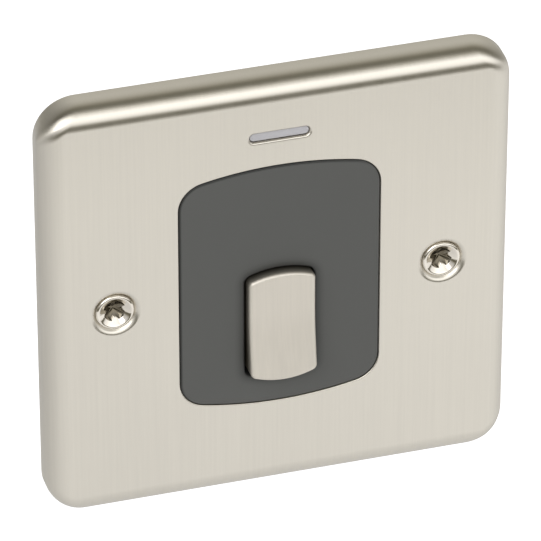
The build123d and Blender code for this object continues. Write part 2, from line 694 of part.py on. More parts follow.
def base_shell():
    """Outer block of the base, deeper at its two rows of terminals."""
    wide, tall = 2 * BASE_HALF_X, 2 * BASE_HALF_Z
    shell = slab(Rectangle(wide, tall), CARRIER_BACK_Y, FLOOR_Y + BASE_FLOOR, z=PIVOT_Z)
    zone = BASE_END_MARGIN + BLOCK_HEIGHT + TERMINAL_ZONE_MARGIN
    for side in BOTH_SIDES:
        middle = PIVOT_Z + side * (BASE_HALF_Z - zone / 2)
        shell += slab(Rectangle(wide, zone), FLOOR_Y, BASE_BACK_Y, z=middle)
    return fillet(shell.edges().filter_by(Axis.Y), BASE_CORNER_R)


def base_ear(x, z):
    """Screw ear on the side of the base."""
    inner = BASE_HALF_X if x > 0 else -BASE_HALF_X
    tab = block((min(inner, x), max(inner, x)), (EAR_Y, EAR_Y + EAR_T), (z - EAR_R, z + EAR_R))
    return tab + rod(EAR_R, EAR_Y, EAR_Y + EAR_T, x, z)


def pole_bay(x):
    """The room for one pole, with a pocket, a wire window and a screw hole at each terminal."""
    bay_x = (x - BLOCK_WIDTH / 2 - BAY_CLEAR, x + BLOCK_WIDTH / 2 + BAY_CLEAR)
    inner_z = BASE_HALF_Z - BASE_END_WALL
    bay = block(bay_x, (CARRIER_BACK_Y, FLOOR_Y), (PIVOT_Z - inner_z, PIVOT_Z + inner_z))
    half = BLOCK_HEIGHT / 2 + BLOCK_SIDE_CLEAR
    for z, end in ((SUPPLY_Z, PIVOT_Z - BASE_HALF_Z), (LOAD_Z, PIVOT_Z + BASE_HALF_Z)):
        bay += block(bay_x, (FLOOR_Y, BLOCK_BACK_Y), (z - half, z + half))
        bay += block(bay_x, (BLOCK_Y, FLOOR_Y), (min(z, end), max(z, end)))
        bay += rod(CLAMP_HEAD_R + ACCESS_CLEAR, BLOCK_BACK_Y, BASE_BACK_Y, x, z)
    return bay


def trunnion_slots():
    """Round-ended slots in the side walls, open at the front."""
    slot_r = TRUNNION_R + TRUNNION_CLEAR
    slot = axle(slot_r, -BASE_HALF_X, BASE_HALF_X, PIVOT_Y, PIVOT_Z)
    return slot + block(
        (-BASE_HALF_X, BASE_HALF_X), (CARRIER_BACK_Y, PIVOT_Y), (PIVOT_Z - slot_r, PIVOT_Z + slot_r)
    )


def lead_notch(x, z_range):
    """Notch for a pilot lead in a wall that stands on the carrier."""
    half = LEAD_R + LEAD_NOTCH_CLEAR
    return block((x - half, x + half), (CARRIER_BACK_Y, LEAD_Y + half), z_range)


def switch_base():
    """Open-fronted box with a bay for each pole, screw ears and slots for the rocker's trunnions."""
    body = base_shell()
    inner_z = BASE_HALF_Z - BASE_END_WALL
    for x in POLES.values():
        body -= pole_bay(x)
    island = BAY_INNER_X - ISLAND_WALL
    body -= block((-island, island), (CARRIER_BACK_Y, FLOOR_Y), (PIVOT_Z - inner_z, PIVOT_Z + inner_z))
    throw_y = PIVOT_Y - CROSSBAR_FRONT + POCKET_LENGTH + THROW_CLEAR
    throw_z = ROCKER_LENGTH / 2 + SHUTTER_END + THROW_CLEAR
    body -= block(
        (-BAY_OUTER_X, BAY_OUTER_X), (CARRIER_BACK_Y, throw_y), (PIVOT_Z - throw_z, PIVOT_Z + throw_z)
    )
    body -= trunnion_slots()
    for side in BOTH_SIDES:
        body -= lead_notch(side * LEAD_X, (PIVOT_Z + inner_z, PIVOT_Z + BASE_HALF_Z))
    for x, z in ear_places():
        body += base_ear(x, z)
        body -= rod(BASE_SCREW_R + SCREW_CLEAR, EAR_Y, EAR_Y + EAR_T, x, z)
    return body


def base_screws():
    """Screws that hold the base to the carrier."""
    length = EAR_T + BASE_SCREW_GRIP
    return [
        rear_screw(BASE_HEAD_R, BASE_HEAD_T, BASE_SCREW_R, length, EAR_Y + EAR_T, x, z)
        for x, z in ear_places()
    ]


def pilot_lens():
    """Clear lens in the lamp slot, with a flange behind the plate and a light guide."""
    tongue = SlotOverall(SLOT_WIDTH - 2 * LENS_GAP, SLOT_HEIGHT - 2 * LENS_GAP)
    flange = Rectangle(SLOT_WIDTH + 2 * LENS_MARGIN, SLOT_HEIGHT + 2 * LENS_MARGIN)
    guide = Rectangle(GUIDE_WIDTH, GUIDE_HEIGHT)
    lens = slab(tongue, FACE_Y + LENS_RECESS, SHEET_BACK_Y, z=PILOT_Z)
    lens += slab(flange, SHEET_BACK_Y, FLANGE_BACK_Y, z=PILOT_Z)
    return lens + slab(guide, FLANGE_BACK_Y, FLANGE_BACK_Y + GUIDE_DEPTH, z=PILOT_Z)


def pilot_board():
    """Small circuit board on the back of the carrier."""
    return slab(Rectangle(BOARD_WIDTH, BOARD_HEIGHT), CARRIER_BACK_Y, BOARD_BACK_Y, z=PILOT_Z)


def pilot_lamp():
    """Lamp on the front of the board, behind the light guide."""
    return slab(Rectangle(LAMP_WIDTH, LAMP_HEIGHT), CARRIER_BACK_Y - LAMP_T, CARRIER_BACK_Y, z=PILOT_Z)


def axial_component(x, radius, length):
    """Round component with two legs, lying along X on the back of the board."""
    y, z = BOARD_BACK_Y + COMPONENT_LIFT + radius, PILOT_Z + COMPONENT_RISE
    reach = length / 2 + LEG_REACH
    body = axle(radius, x - length / 2, x + length / 2, y, z)
    body += axle(LEG_R, x - reach, x + reach, y, z)
    for side in BOTH_SIDES:
        leg_x = x + side * reach
        body += rod(LEG_R, BOARD_BACK_Y, y, leg_x, z) + Pos(leg_x, y, z) * Sphere(LEG_R)
    return body


def peg_x():
    """How far the pilot cover's pegs stand from the middle."""
    return BOARD_WIDTH / 2 + COVER_CLEAR + COVER_WALL + PEG_OFFSET


def pilot_cover():
    """Cover over the board, staked to the carrier by two pegs."""
    inner = (BOARD_WIDTH + 2 * COVER_CLEAR, BOARD_HEIGHT + 2 * COVER_CLEAR)
    outline = RectangleRounded(inner[0] + 2 * COVER_WALL, inner[1] + 2 * COVER_WALL, COVER_CORNER_R)
    back = CARRIER_BACK_Y + COVER_DEPTH
    cover = slab(outline, CARRIER_BACK_Y, back, z=PILOT_Z)
    for side in BOTH_SIDES:
        x = side * peg_x()
        tab_back = CARRIER_BACK_Y + PEG_TAB_T
        cover += rod(PEG_TAB_R, CARRIER_BACK_Y, tab_back, x, PILOT_Z)
        root = (min(0, x), max(0, x))
        cover += block(root, (CARRIER_BACK_Y, tab_back), (PILOT_Z - PEG_TAB_R, PILOT_Z + PEG_TAB_R))
        cover += rod(PEG_R, CARRIER_BACK_Y - PEG_LENGTH, CARRIER_BACK_Y, x, PILOT_Z)
    cover -= slab(Rectangle(*inner), CARRIER_BACK_Y, back - COVER_WALL, z=PILOT_Z)
    bottom = PILOT_Z - inner[1] / 2
    for side in BOTH_SIDES:
        cover -= lead_notch(side * LEAD_X, (bottom - COVER_WALL, bottom))
    return cover


def pilot_lead(x):
    """Insulated lead from the board to a load terminal."""
    start_z = PILOT_Z - BOARD_HEIGHT / 2 + LEAD_ON_BOARD
    route = [(x, LEAD_Y, start_z), (x, LEAD_Y, LOAD_Z), (x, BLOCK_Y, LOAD_Z)]
    path = FilletPolyline(*route, radius=LEAD_BEND_R)
    return sweep(Plane(path @ 0, z_dir=path % 0) * Circle(LEAD_R), path=path)


def pieces():
    """Every piece of the switch by name, in the off position."""
    parts = {
        "front_plate": front_plate(),
        "plate_studs": plate_studs(),
        "insert": insert(),
        "carrier": carrier(),
        "carrier_screws": carrier_screws(),
        "fixing_screws": [fixing_screw(side * FIXING_X) for side in BOTH_SIDES],
        "switch_base": switch_base(),
        "base_screws": base_screws(),
        "terminal_screws": terminal_screws(),
        "earth_strap": earth_strap(),
        "earth_terminal": earth_terminal(),
        "earth_screw": earth_screw(),
        "pilot_lens": pilot_lens(),
        "pilot_board": pilot_board(),
        "pilot_lamp": pilot_lamp(),
        "pilot_resistor": axial_component(-COMPONENT_X, RESISTOR_R, RESISTOR_LENGTH),
        "pilot_diode": axial_component(COMPONENT_X, DIODE_R, DIODE_LENGTH),
        "pilot_cover": pilot_cover(),
        "rocker_cap": at_rest(rocker_cap()),
        "rocker_body": at_rest(rocker_body()),
    }
    for pole, x in POLES.items():
        lead_x = LEAD_X if x > 0 else -LEAD_X
        parts[f"spring_{pole}"] = at_rest(spring(x))
        parts[f"plunger_{pole}"] = at_rest(plunger(x))
        parts[f"contact_arm_{pole}"] = contact_arm(x)
        parts[f"moving_contact_{pole}"] = moving_contact(x)
        parts[f"fixed_contact_{pole}"] = fixed_contact(x)
        parts[f"supply_terminal_{pole}"] = supply_terminal(x)
        parts[f"load_terminal_{pole}"] = load_terminal(x)
        parts[f"pilot_lead_{pole}"] = pilot_lead(lead_x)
    return parts


os.makedirs("parts", exist_ok=True)
for name, shape in pieces().items():
    solids = shape if isinstance(shape, list) else [shape]
    bodies = [solid for piece in solids for solid in piece.solids()]
    export_step(bodies[0] if len(bodies) == 1 else Compound(bodies), f"parts/{name}.step")
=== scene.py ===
"""The looks of a flush double pole wall switch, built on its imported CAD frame."""

import json
from functools import partial
from math import atan2, cos, hypot, pi, radians, sin, sqrt, tan

import bmesh
import bpy
from bpy.props import FloatProperty, FloatVectorProperty, IntProperty, PointerProperty
from bpy.types import NodeSocket, Operator, Panel, PropertyGroup
from mathutils import Matrix, Vector
from mathutils.geometry import delaunay_2d_cdt


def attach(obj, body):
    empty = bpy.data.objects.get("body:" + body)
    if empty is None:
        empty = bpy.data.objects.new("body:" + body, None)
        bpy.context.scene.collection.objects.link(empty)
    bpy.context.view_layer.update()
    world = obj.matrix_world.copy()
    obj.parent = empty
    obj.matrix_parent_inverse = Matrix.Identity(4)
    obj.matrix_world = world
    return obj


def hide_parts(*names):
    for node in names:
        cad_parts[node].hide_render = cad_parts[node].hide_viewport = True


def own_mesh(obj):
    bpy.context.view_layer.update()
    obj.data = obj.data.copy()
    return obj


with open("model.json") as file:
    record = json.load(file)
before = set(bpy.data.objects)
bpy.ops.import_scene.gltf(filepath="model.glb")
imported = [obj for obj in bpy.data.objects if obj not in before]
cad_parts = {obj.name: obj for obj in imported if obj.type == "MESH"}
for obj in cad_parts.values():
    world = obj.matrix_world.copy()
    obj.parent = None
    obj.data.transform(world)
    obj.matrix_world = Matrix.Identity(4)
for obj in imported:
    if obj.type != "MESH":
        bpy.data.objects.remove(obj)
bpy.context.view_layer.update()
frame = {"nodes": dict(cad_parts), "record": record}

bl_info = {
    "name": "Double pole switch",
    "version": (1, 0, 0),
    "blender": (4, 5, 0),
    "location": "3D View > Sidebar > Switch",
    "description": "Builds the looks of a brushed steel double pole wall switch on its CAD frame",
    "category": "Object",
}

MM = 0.001
POLES = {"line": 1, "neutral": -1}  # the side of each pole
FINISH = "_finish"  # follows a slot's name in the name of its finish
COPIES = "Copies on points"  # the geometry node tree for pieces that repeat
SHADE_LAYER = "recess"  # attribute of painted shade: how dark a point is painted for lying in a recess or under an edge
SUPPORT = 0.04 * MM  # narrow band that keeps a face flat beside a rounding
CREASE = radians(32)  # edges that turn further than this stay sharp
WELD = 1e-7  # points closer than this become one
MIX_FIRST, MIX_SECOND, MIX_RESULT = 6, 7, 2  # places of a Mix node's sockets for colours
TIGHTEN = 1.7  # how much faster than its inset the corner radius of the plate's edge shrinks

# Painted shade in recesses and under edges, from nought for open to one for dark
OVERHANG, OVERHANG_INNER = 0.75, 0.5  # painted shadow under the plate's edge, and the share of it at the shadow line's foot
HALO = {1.0: 0.0, 0.55: 0.12, 0.25: 0.3}  # painted shade around the rocker's mouth, by the share of the halo's width
BRINK, MOUTH, THROAT = 0.45, 0.6, 0.9  # before, on and behind the rounding of the rocker's mouth
CAP_EDGE, CAP_SIDE, CAP_DEEP = 0.3, 0.65, 1.0  # painted shade down the rocker's edge, on its side and further in
CAP_STEPS = (0.4, 1.0)  # where on its side they change, as shares of the depth of its shade
CROSS_MOUTH, CROSS_FLOOR = 0.85, 1.0  # painted shade in the fixing screws' cross
SHADE_TINT = (1.08, 1.0, 0.82)  # tint of the painted shade in the recesses

# Threads and screws
THREAD_ROWS = 6  # rings for each turn of a thread
FLANK, CREST = 1.7, 0.35  # steepness of a thread's flanks and how flat its crests and roots are
THREAD_GAP = 0.05 * MM  # between a thread and the plain part before it
FIXING_DEPTH, REAR_DEPTH = 0.55, 0.5  # depth of the threads as a share of their pitch
TIP = 0.3 * MM  # bevel at the fixing screws' tips
CROSS_BEVEL = 0.05 * MM  # bevel of the cross's mouth
CROSS_FOOT, CROSS_TAPER = 0.42, 0.8  # width and span of the cross's floor as shares of those of its mouth
CROSS_FALL, CROSS_PIT = 0.6, 1.25  # fall of the cross's floor and depth of its pit as shares of its depth
COLLAR = 1.1  # radius of the first full circle around the cross as a share of the cross's span
CROWN = (0.25, 0.5, 0.7, 0.85, 1.0)  # where the circles lie between that one and the crest
WING_END = 0.999  # points further out than this share of the cross's span are a wing's end
HEAD_FOOT = 0.4  # bevel at the foot of a slotted head as a share of the bevel at its top
SLOT_INNER, SLOT_OUTER = 0.3, 0.7  # shares of that bevel over which the slot's mouth opens, below and above
SLOT_TURNS = (0.0, 0.5, -0.35, 0.9)  # turns of neighbouring slotted screws

# The studio. Its levels change linearly between start and stop.
CLIP_START = 0.05  # nearest distance that the camera shows
# Brightness of the room by the angle in degrees, from the front over the top to the back
ROOM = {
    -180: 0.6, -120: 0.6, -60: 0.85, -32: 1.0, -27: 0.5, -22: 0.15, -12: 0.13, -5: 0.5, 2: 1.4, 10: 1.8,
    33: 1.8, 43: 1.1, 54: 0.5, 65: 0.26, 80: 0.19, 94: 0.29, 107: 0.53, 120: 0.7, 146: 0.79, 180: 0.6,
}
ROOM_GAIN, DIFFUSE_LOSS = 2.0, 0.5  # strength of the room, and how much less of it diffuse rays get
DUSK = (0.0, 0.07, 0.33)  # share of its red, green and blue that a dark tone loses
SOFTBOX = 0.3  # where the room is brightest, from the left to the right
SIDES = {"start": 0.2, "stop": 0.8, "high": 0.58}  # loss of light away from there
HORIZON = {"start": -0.1, "stop": 0.0}  # height from which that loss counts
BACK = {"stop": 0.5, "high": 1.1}  # more light for diffuse rays towards the back
FLOOR_SEEN, FLOOR_POOL = 0.7, 0.55  # glow of the floor for the camera and for reflections
POOL = {"start": -0.2, "stop": 0.45, "low": 0.08}  # how the reflected pool of light rises across the floor
POOL_END = {"start": 0.34, "stop": 0.58, "low": 0.74}  # how it is dimmed before its brightest part


# Settings


def titled(key):
    """A key as the name of a setting or of a node's input."""
    return key.replace("_", " ").title()


def number(description, value, **options):
    """A number that still lacks its name."""
    return partial(FloatProperty, description=description, default=value, **options)


def length(description, millimetres):
    """A length that is given in millimetres and kept in metres."""
    return number(description, millimetres * MM, subtype="DISTANCE", unit="LENGTH", precision=5)


def angle(description, degrees):
    """An angle that is given in degrees and kept in radians."""
    return number(description, radians(degrees), subtype="ANGLE", unit="ROTATION")


def triple(description, values, **options):
    """Three numbers that still lack their name."""
    return partial(FloatVectorProperty, description=description, default=values, size=3, **options)


def colour(owner, rgb):
    """A scene linear colour."""
    return triple(f"Colour of {owner}", rgb, min=0.0, max=1.0, subtype="COLOR")


def labelled(group):
    """Names the settings of a group after their keys."""
    group.__annotations__ = {key: setting(name=titled(key)) for key, setting in group.__annotations__.items()}
    return group


@labelled
class PlateSettings(PropertyGroup):
    """The pressed front plate."""

    width: length("Side of the square plate", 86.0)
    depth: length("From the wall to the front face", 5.9)
    corner: length("Radius of the plate's corners, seen from the front", 7.6)
    edge: length("Radius between the face and the turned rim", 3.85)
    ease: length("Broader radius where the edge leaves the face", 5.5)
    ease_turn: angle("How far the edge turns with the broader radius", 15.0)
    sheet: length("Thickness of the steel", 1.0)
    cut: length("Rounding of the punched edges on the face", 0.2)
    rim: length("Rounding of the rim that stands on the wall", 0.15)
    dimple: length("Radius at which the dimple's cone would meet the face", 4.25)
    lip: length("Rounding of the dimple's mouth", 1.2)
    hole: length("Radius of the hole in the dimple", 2.05)
    spacing: length("Distance between the two fixing screws", 60.3)


@labelled
class InsertSettings(PropertyGroup):
    """The grey insert and the window that it fills."""

    width: length("Width of the window", 37.1)
    height: length("Height of the window", 50.2)
    rise: length("Height of the window's middle above the fixing screws", 0.65)
    end: length("Radius of the bowed ends", 70.0)
    corner: length("Radius of the window's corners", 5.5)
    gap: length("Gap between the plate and the insert", 0.12)
    recess: length("How far the insert lies behind the face", 0.15)
    edge: length("Rounding of the insert's front edges", 0.3)
    sag: length("How far the insert hangs down within its gap", 0.09)
    line: length("Width of the shade under the plate's edge", 0.3)
    # The halo is painted shade around the rocker's mouth
    halo: length("Width of the dusty shade around the rocker's mouth", 1.7)
    flange: length("How far the flange reaches behind the plate", 2.5)
    flange_depth: length("Thickness of the flange", 1.9)


@labelled
class RockerSettings(PropertyGroup):
    """The rocker's metal cap, drawn at the middle of its throw."""

    width: length("Width of the rocker", 12.3)
    height: length("Length of the rocker", 22.0)
    end: length("Radius of the bowed ends", 15.5)
    corner: length("Radius of the rocker's corners", 1.2)
    edge: length("Rounding between the face and the sides", 0.7)
    dish: length("Radius of the hollow across the face", 40.0)
    tilt: angle("Half of the rocker's throw", 3.9)
    reach: length("From the pivot to the middle of the face", 8.8204)
    depth: length("From the face to the end of the skirt", 6.05)
    wall: length("Thickness of the cap", 0.6)
    pivot_depth: length("Pivot behind the wall plane", 1.0)
    pivot_rise: length("Pivot above the fixing screws", -7.65)
    # The sides' darkening is painted shade
    shade: length("Depth over which the rocker's sides get dark", 1.8)
    side_gap: length("Gap at the rocker's sides", 0.3)
    end_gap: length("Gap at the rocker's ends", 0.72)


@labelled
class LampSettings(PropertyGroup):
    """The pilot lamp's slot and lens."""

    width: length("Width of the lamp slot", 11.3)
    height: length("Height of the lamp slot", 2.1)
    rise: length("Height of the slot above the fixing screws", 31.9)
    lip: length("Rounding of the slot's edge on the face", 0.42)
    turned: length("How far the lip's foot stands in the slot", 0.15)
    gap: length("Gap around the lens", 0.08)
    recess: length("How far the lens lies behind the face", 0.45)
    edge: length("Rounding of the lens", 0.18)
    flange: length("How far the lens reaches behind the plate", 1.3)
    guide_margin: length("How much the light guide is narrower and taller than the slot", 0.6)
    guide_depth: length("Depth of the light guide behind the flange", 1.1)


@labelled
class ScrewSettings(PropertyGroup):
    """The two dished fixing screws and the slotted screws at the back."""

    head: length("Radius of the fixing screw's head", 3.55)
    sink: length("How far the foot of the head's rim lies behind the face", 0.65)
    level: length("How far the crest of the rim lies behind the face", 0.15)
    bend: length("Rounding of the head's rim", 0.45)
    ease: length("Width over which the crest turns into the dish", 0.25)
    dish: angle("Slope of the dished top", 36.0)
    neck: length("Radius of the plain neck", 1.5)
    thread: length("Outer radius of the thread", 1.75)
    pitch: length("Pitch of the thread", 0.6)
    reach: length("From the foot of the head's rim to the screw's tip", 25.15)
    cross: length("Span of the cross recess", 4.2)
    wing: length("Width of a wing of the cross recess", 1.8)
    recess: length("Depth of the cross recess", 1.7)
    turn_left: angle("Turn of the left screw's recess", 40.0)
    turn_right: angle("Turn of the right screw's recess", 33.0)
    slot: length("Width of the rear screws' slot", 0.8)
    slot_depth: length("Depth of the rear screws' slot", 1.0)
    bevel: length("Bevel of the rear screws' heads", 0.22)


@labelled
class SpringSettings(PropertyGroup):
    """The springs behind the plungers."""

    mean: length("Radius of the coil at the middle of the wire", 1.15)
    wire: length("Radius of the wire", 0.2)
    height: length("Height of the coil between its ends", 3.04)
    start: length("Depth of the coil's front end behind the wall plane", 0.83)
    pole: length("How far each pole stands from the middle", 9.0)
    squeeze: number("Share of the height left with the plunger in", 0.7, min=0.0, max=1.0, subtype="FACTOR")
    turns: partial(IntProperty, description="Number of turns", default=4, min=1)


@labelled
class FinishSettings(PropertyGroup):
    """Colours of the finishes."""

    steel: colour("the plate", (0.642, 0.609, 0.541))
    rocker: colour("the rocker's cap", (0.715, 0.675, 0.607))
    chrome: colour("the fixing screws", (0.74, 0.695, 0.62))
    insert: colour("the insert", (0.0985, 0.1, 0.094))
    lens: colour("the pilot lens", (0.665, 0.655, 0.68))
    white: colour("the mouldings at the back", (0.74, 0.735, 0.7))
    dolly: colour("the rocker's moulded body", (0.03, 0.03, 0.031))
    brass: colour("the terminals", (0.72, 0.53, 0.25))
    zinc: colour("the plated screws", (0.6, 0.59, 0.56))
    copper: colour("the contact arms", (0.72, 0.4, 0.25))
    silver: colour("the contact tips", (0.82, 0.81, 0.79))
    spring: colour("the springs", (0.5, 0.5, 0.5))
    plunger: colour("the plungers", (0.72, 0.7, 0.62))
    board: colour("the circuit board", (0.04, 0.2, 0.08))
    lamp: colour("the lamp", (0.8, 0.78, 0.7))
    resistor: colour("the resistor", (0.6, 0.47, 0.29))
    diode: colour("the diode", (0.02, 0.02, 0.02))
    brown: colour("the line lead's insulation", (0.16, 0.07, 0.03))
    blue: colour("the neutral lead's insulation", (0.03, 0.1, 0.35))


@labelled
class StageSettings(PropertyGroup):
    """The camera, the floor and the key light."""

    azimuth: angle("Camera's turn about the upright, from the front", -16.18)
    elevation: angle("Camera's height above the horizon", 33.97)
    distance: length("Camera's distance", 1035.02)
    lens: number("Focal length in millimetres", 386.6, min=1.0, unit="CAMERA")
    sensor: number("Width of the camera's sensor in millimetres", 36.0, min=1.0, unit="CAMERA")
    aim: triple("Point that the camera looks at", (-6.5e-5, -1.2e-4, -2.6e-4), subtype="TRANSLATION")
    floor_drop: length("How far the floor lies below the switch's middle", 250.0)
    floor_size: length("Width of the floor and twice its reach behind the switch", 3000.0)
    floor_front: length("How far the floor reaches in front of the switch", 500.0)
    key_power: number("Power of the key light in watts", 6.0, min=0.0, unit="POWER")
    key_size: length("Side of the key light", 850.0)
    key_azimuth: angle("Key light's turn about the upright", -42.0)
    key_elevation: angle("Key light's height", 38.0)
    key_distance: length("Distance of the key light", 1100.0)
    floor: colour("the floor", (0.9, 0.9, 0.9))


# Outlines, as points in X and Z


def spaced(start, stop, steps):
    """Values in equal steps, with both ends."""
    return [start + (stop - start) * k / steps for k in range(steps + 1)]


def rounded_box(width, height, radius, steps):
    """A rectangle with round corners."""
    points = []
    for corner, (sx, sz) in enumerate(((1, 1), (-1, 1), (-1, -1), (1, -1))):
        cx, cz = sx * (width / 2 - radius), sz * (height / 2 - radius)
        for step in range(steps + 1):
            a = (corner + step / steps) * pi / 2
            points.append((cx + radius * cos(a), cz + radius * sin(a)))
    return points


def circle(radius, count):
    """A full circle."""
    return [(radius * cos(a), radius * sin(a)) for a in spaced(0.0, 2 * pi, count)[:-1]]


def barrel(width, height, end, corner, sides=16, corners=8, ends=12):
    """An upright outline with straight sides and bowed ends, from its foot up its right side and round."""
    cx, top = width / 2 - corner, height / 2 - end
    cz = top + sqrt((end - corner) ** 2 - cx**2)
    meet = atan2(cz - top, cx)
    upper = [(width / 2, z) for z in spaced(0.0, cz, sides)[:-1]]
    upper += [(cx + corner * cos(a), cz + corner * sin(a)) for a in spaced(0.0, meet, corners)[:-1]]
    upper += [(end * cos(a), top + end * sin(a)) for a in spaced(meet, pi / 2, ends)]
    right = [(x, -z) for x, z in reversed(upper[1:])] + upper
    right[0], right[-1] = (0.0, right[0][1]), (0.0, right[-1][1])
    return right + [(-x, z) for x, z in reversed(right[1:-1])]


def cross(width, span, ends=4, sides=5, corners=3):
    """A cross with round-ended wings and eased inner corners."""
    half, ease = width / 2, width / 5
    reach, inner = sqrt(span**2 - half**2), half + ease
    wing = [(sqrt(span**2 - z**2), z) for z in spaced(-half, half, ends)]
    wing += [(x, half) for x in spaced(reach, inner, sides)[1:-1]]
    wing += [(inner + ease * cos(a), inner + ease * sin(a)) for a in spaced(-pi / 2, -pi, corners)]
    wing += [(half, z) for z in spaced(inner, reach, sides)[1:-1]]
    points = []
    for turn in range(4):
        c, s = round(cos(turn * pi / 2)), round(sin(turn * pi / 2))
        points += [(c * x - s * z, s * x + c * z) for x, z in wing]
    return points


def spread(points, radius):
    """A cross's points on a circle, with the ends of its wings kept on their own angles."""
    per_wing = len(points) // 4
    rim = WING_END * max(hypot(x, z) for x, z in points)
    out = []
    for first in range(0, len(points), per_wing):
        wing = points[first : first + per_wing]
        following = points[(first + per_wing) % len(points)]
        last = max(k for k, (x, z) in enumerate(wing) if hypot(x, z) > rim)
        start, stop = atan2(wing[last][1], wing[last][0]), atan2(following[1], following[0])
        if stop < start:
            stop += 2 * pi
        angles = [atan2(z, x) for x, z in wing[:last]] + spaced(start, stop, per_wing - last)[:-1]
        out += [(radius * cos(a), radius * sin(a)) for a in angles]
    return out


def moved(points, x=0.0, z=0.0):
    """An outline moved in its plane."""
    return [(px + x, pz + z) for px, pz in points]


def quarter(radius, steps, reverse=False):
    """A quarter round, as how far it lies in from the side and how far back from the face."""
    points = [(radius * (1 - cos(a)), radius * (1 - sin(a))) for a in spaced(0.0, pi / 2, steps)]
    return points[::-1] if reverse else points


# Surfaces


def ring(bm, points, y):
    """Points at one depth, or at the depth that y gives for each of them."""
    return [bm.verts.new((x, y(x, z) if callable(y) else y, z)) for x, z in points]


def mark(bm, rings, shades):
    """Write each ring's painted shade, from nought for open to one for dark."""
    layer = bm.verts.layers.float[SHADE_LAYER]
    for loop, shade in zip(rings, shades):
        for k, vert in enumerate(loop):
            vert[layer] = shade(k, loop) if callable(shade) else shade


def join(bm, rings):
    """Bands of quads between neighbouring rings."""
    for a, b in zip(rings, rings[1:]):
        for k in range(len(a)):
            n = (k + 1) % len(a)
            bm.faces.new((a[k], a[n], b[n], b[k]))


def fill(bm, *rings):
    """A flat face inside the first ring, with the other rings as convex holes."""
    verts, edges, owner = [], [], []
    for order, loop in enumerate(rings):
        first, count = len(verts), len(loop)
        verts += loop
        owner += [order] * count
        edges += [(first + k, first + (k + 1) % count) for k in range(count)]
    flat = [Vector((vert.co.x, vert.co.z)) / MM for vert in verts]
    inside, margin = 1, 1e-5
    _, _, faces, sources, _, _ = delaunay_2d_cdt(flat, edges, [], inside, margin)
    for face in faces:
        corners = [sources[k][0] for k in face]
        owners = {owner[k] for k in corners}
        if len(owners) > 1 or 0 in owners:
            bm.faces.new([verts[k] for k in corners])


def ladder(bm, loop):
    """A face across a barrel outline, in strips between its left and right sides."""
    half = len(loop) // 2
    right, left = loop[1:half], loop[:half:-1]
    bm.faces.new((loop[0], right[0], left[0]))
    for k in range(len(right) - 1):
        bm.faces.new((left[k], right[k], right[k + 1], left[k + 1]))
    bm.faces.new((left[-1], right[-1], loop[half]))


def smoothed(mesh):
    """A mesh with smooth faces and sharp creases."""
    mesh.shade_smooth()
    mesh.set_sharp_from_angle(angle=CREASE)
    return mesh


def shaped(bm, name):
    """An object from a surface, with its faces outward and its creases kept."""
    bmesh.ops.remove_doubles(bm, verts=bm.verts, dist=WELD)
    bmesh.ops.recalc_face_normals(bm, faces=bm.faces)
    mesh = bpy.data.meshes.new(name)
    bm.to_mesh(mesh)
    bm.free()
    return placed(smoothed(mesh), name)


def placed(data, name):
    """A mesh, a camera or a light as an object of the scene, at the origin."""
    piece = bpy.data.objects.new(name, data)
    bpy.context.scene.collection.objects.link(piece)
    return piece


def need(*nodes):
    """Stops if the frame lacks one of these nodes."""
    missing = [name for name in nodes if name not in frame["nodes"]]
    if missing:
        raise RuntimeError(f"the frame has no node named {missing}")


def paint(mesh, material):
    """Gives a mesh one finish."""
    mesh.materials.clear()
    mesh.materials.append(material)


def seat(piece, body, slot, *nodes):
    """Gives a piece its finish, its body and the CAD nodes that it stands for."""
    need(*nodes)
    paint(piece.data, material_of(slot))
    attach(piece, body)
    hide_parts(*nodes)


def baked(piece):
    """Turns a piece with modifiers into a plain mesh."""
    graph = bpy.context.evaluated_depsgraph_get()
    mesh = bpy.data.meshes.new_from_object(piece.evaluated_get(graph), depsgraph=graph)
    if not mesh.polygons:
        raise RuntimeError(f"{piece.name} came out empty")
    piece.modifiers.clear()
    piece.data = mesh
    return piece


def discard(piece):
    """Removes a helper object."""
    bpy.data.objects.remove(piece, do_unlink=True)


# Nodes


def bare_tree(owner):
    """The emptied node tree of a material or a world."""
    owner.use_nodes = True
    owner.node_tree.nodes.clear()
    return owner.node_tree


def add(tree, kind, inputs=None, **settings):
    """The outputs of a new node. Its inputs, by name or place, are values or outputs of other nodes."""
    made = tree.nodes.new(kind)
    for key, value in settings.items():
        setattr(made, key, value)
    for key, value in (inputs or {}).items():
        if isinstance(value, NodeSocket):
            tree.links.new(value, made.inputs[key])
        else:
            made.inputs[key].default_value = value
    return made.outputs


def calc(tree, operation, *values):
    """The result of a Math node."""
    return add(tree, "ShaderNodeMath", dict(enumerate(values)), operation=operation)[0]


def ranged(tree, value, start=0.0, stop=1.0, low=0.0, high=1.0):
    """A value carried from the range of start and stop to that of low and high."""
    limits = {"From Min": start, "From Max": stop, "To Min": low, "To Max": high}
    return add(tree, "ShaderNodeMapRange", {"Value": value, **limits})["Result"]


def mixed(tree, factor, first, second, blend="MIX"):
    """Two colours mixed by a factor."""
    inputs = {"Factor": factor, MIX_FIRST: first, MIX_SECOND: second}
    return add(tree, "ShaderNodeMix", inputs, data_type="RGBA", blend_type=blend)[MIX_RESULT]


def here(tree):
    """The place on the object."""
    return add(tree, "ShaderNodeTexCoord")["Object"]


def noise(tree, vector, scale, detail, rough=0.55):
    """The value of a noise texture."""
    inputs = {"Vector": vector, "Scale": scale, "Detail": detail, "Roughness": rough}
    return add(tree, "ShaderNodeTexNoise", inputs)[0]


def stretched(tree, vector):
    """The place on the object, stretched by a vector."""
    return add(tree, "ShaderNodeVectorMath", {0: here(tree), 1: vector}, operation="MULTIPLY")[0]


def centred(tree, value, amount):
    """A noise value as a factor around one."""
    swing = calc(tree, "MULTIPLY", calc(tree, "SUBTRACT", value, 0.5), amount)
    return calc(tree, "ADD", swing, 1.0)


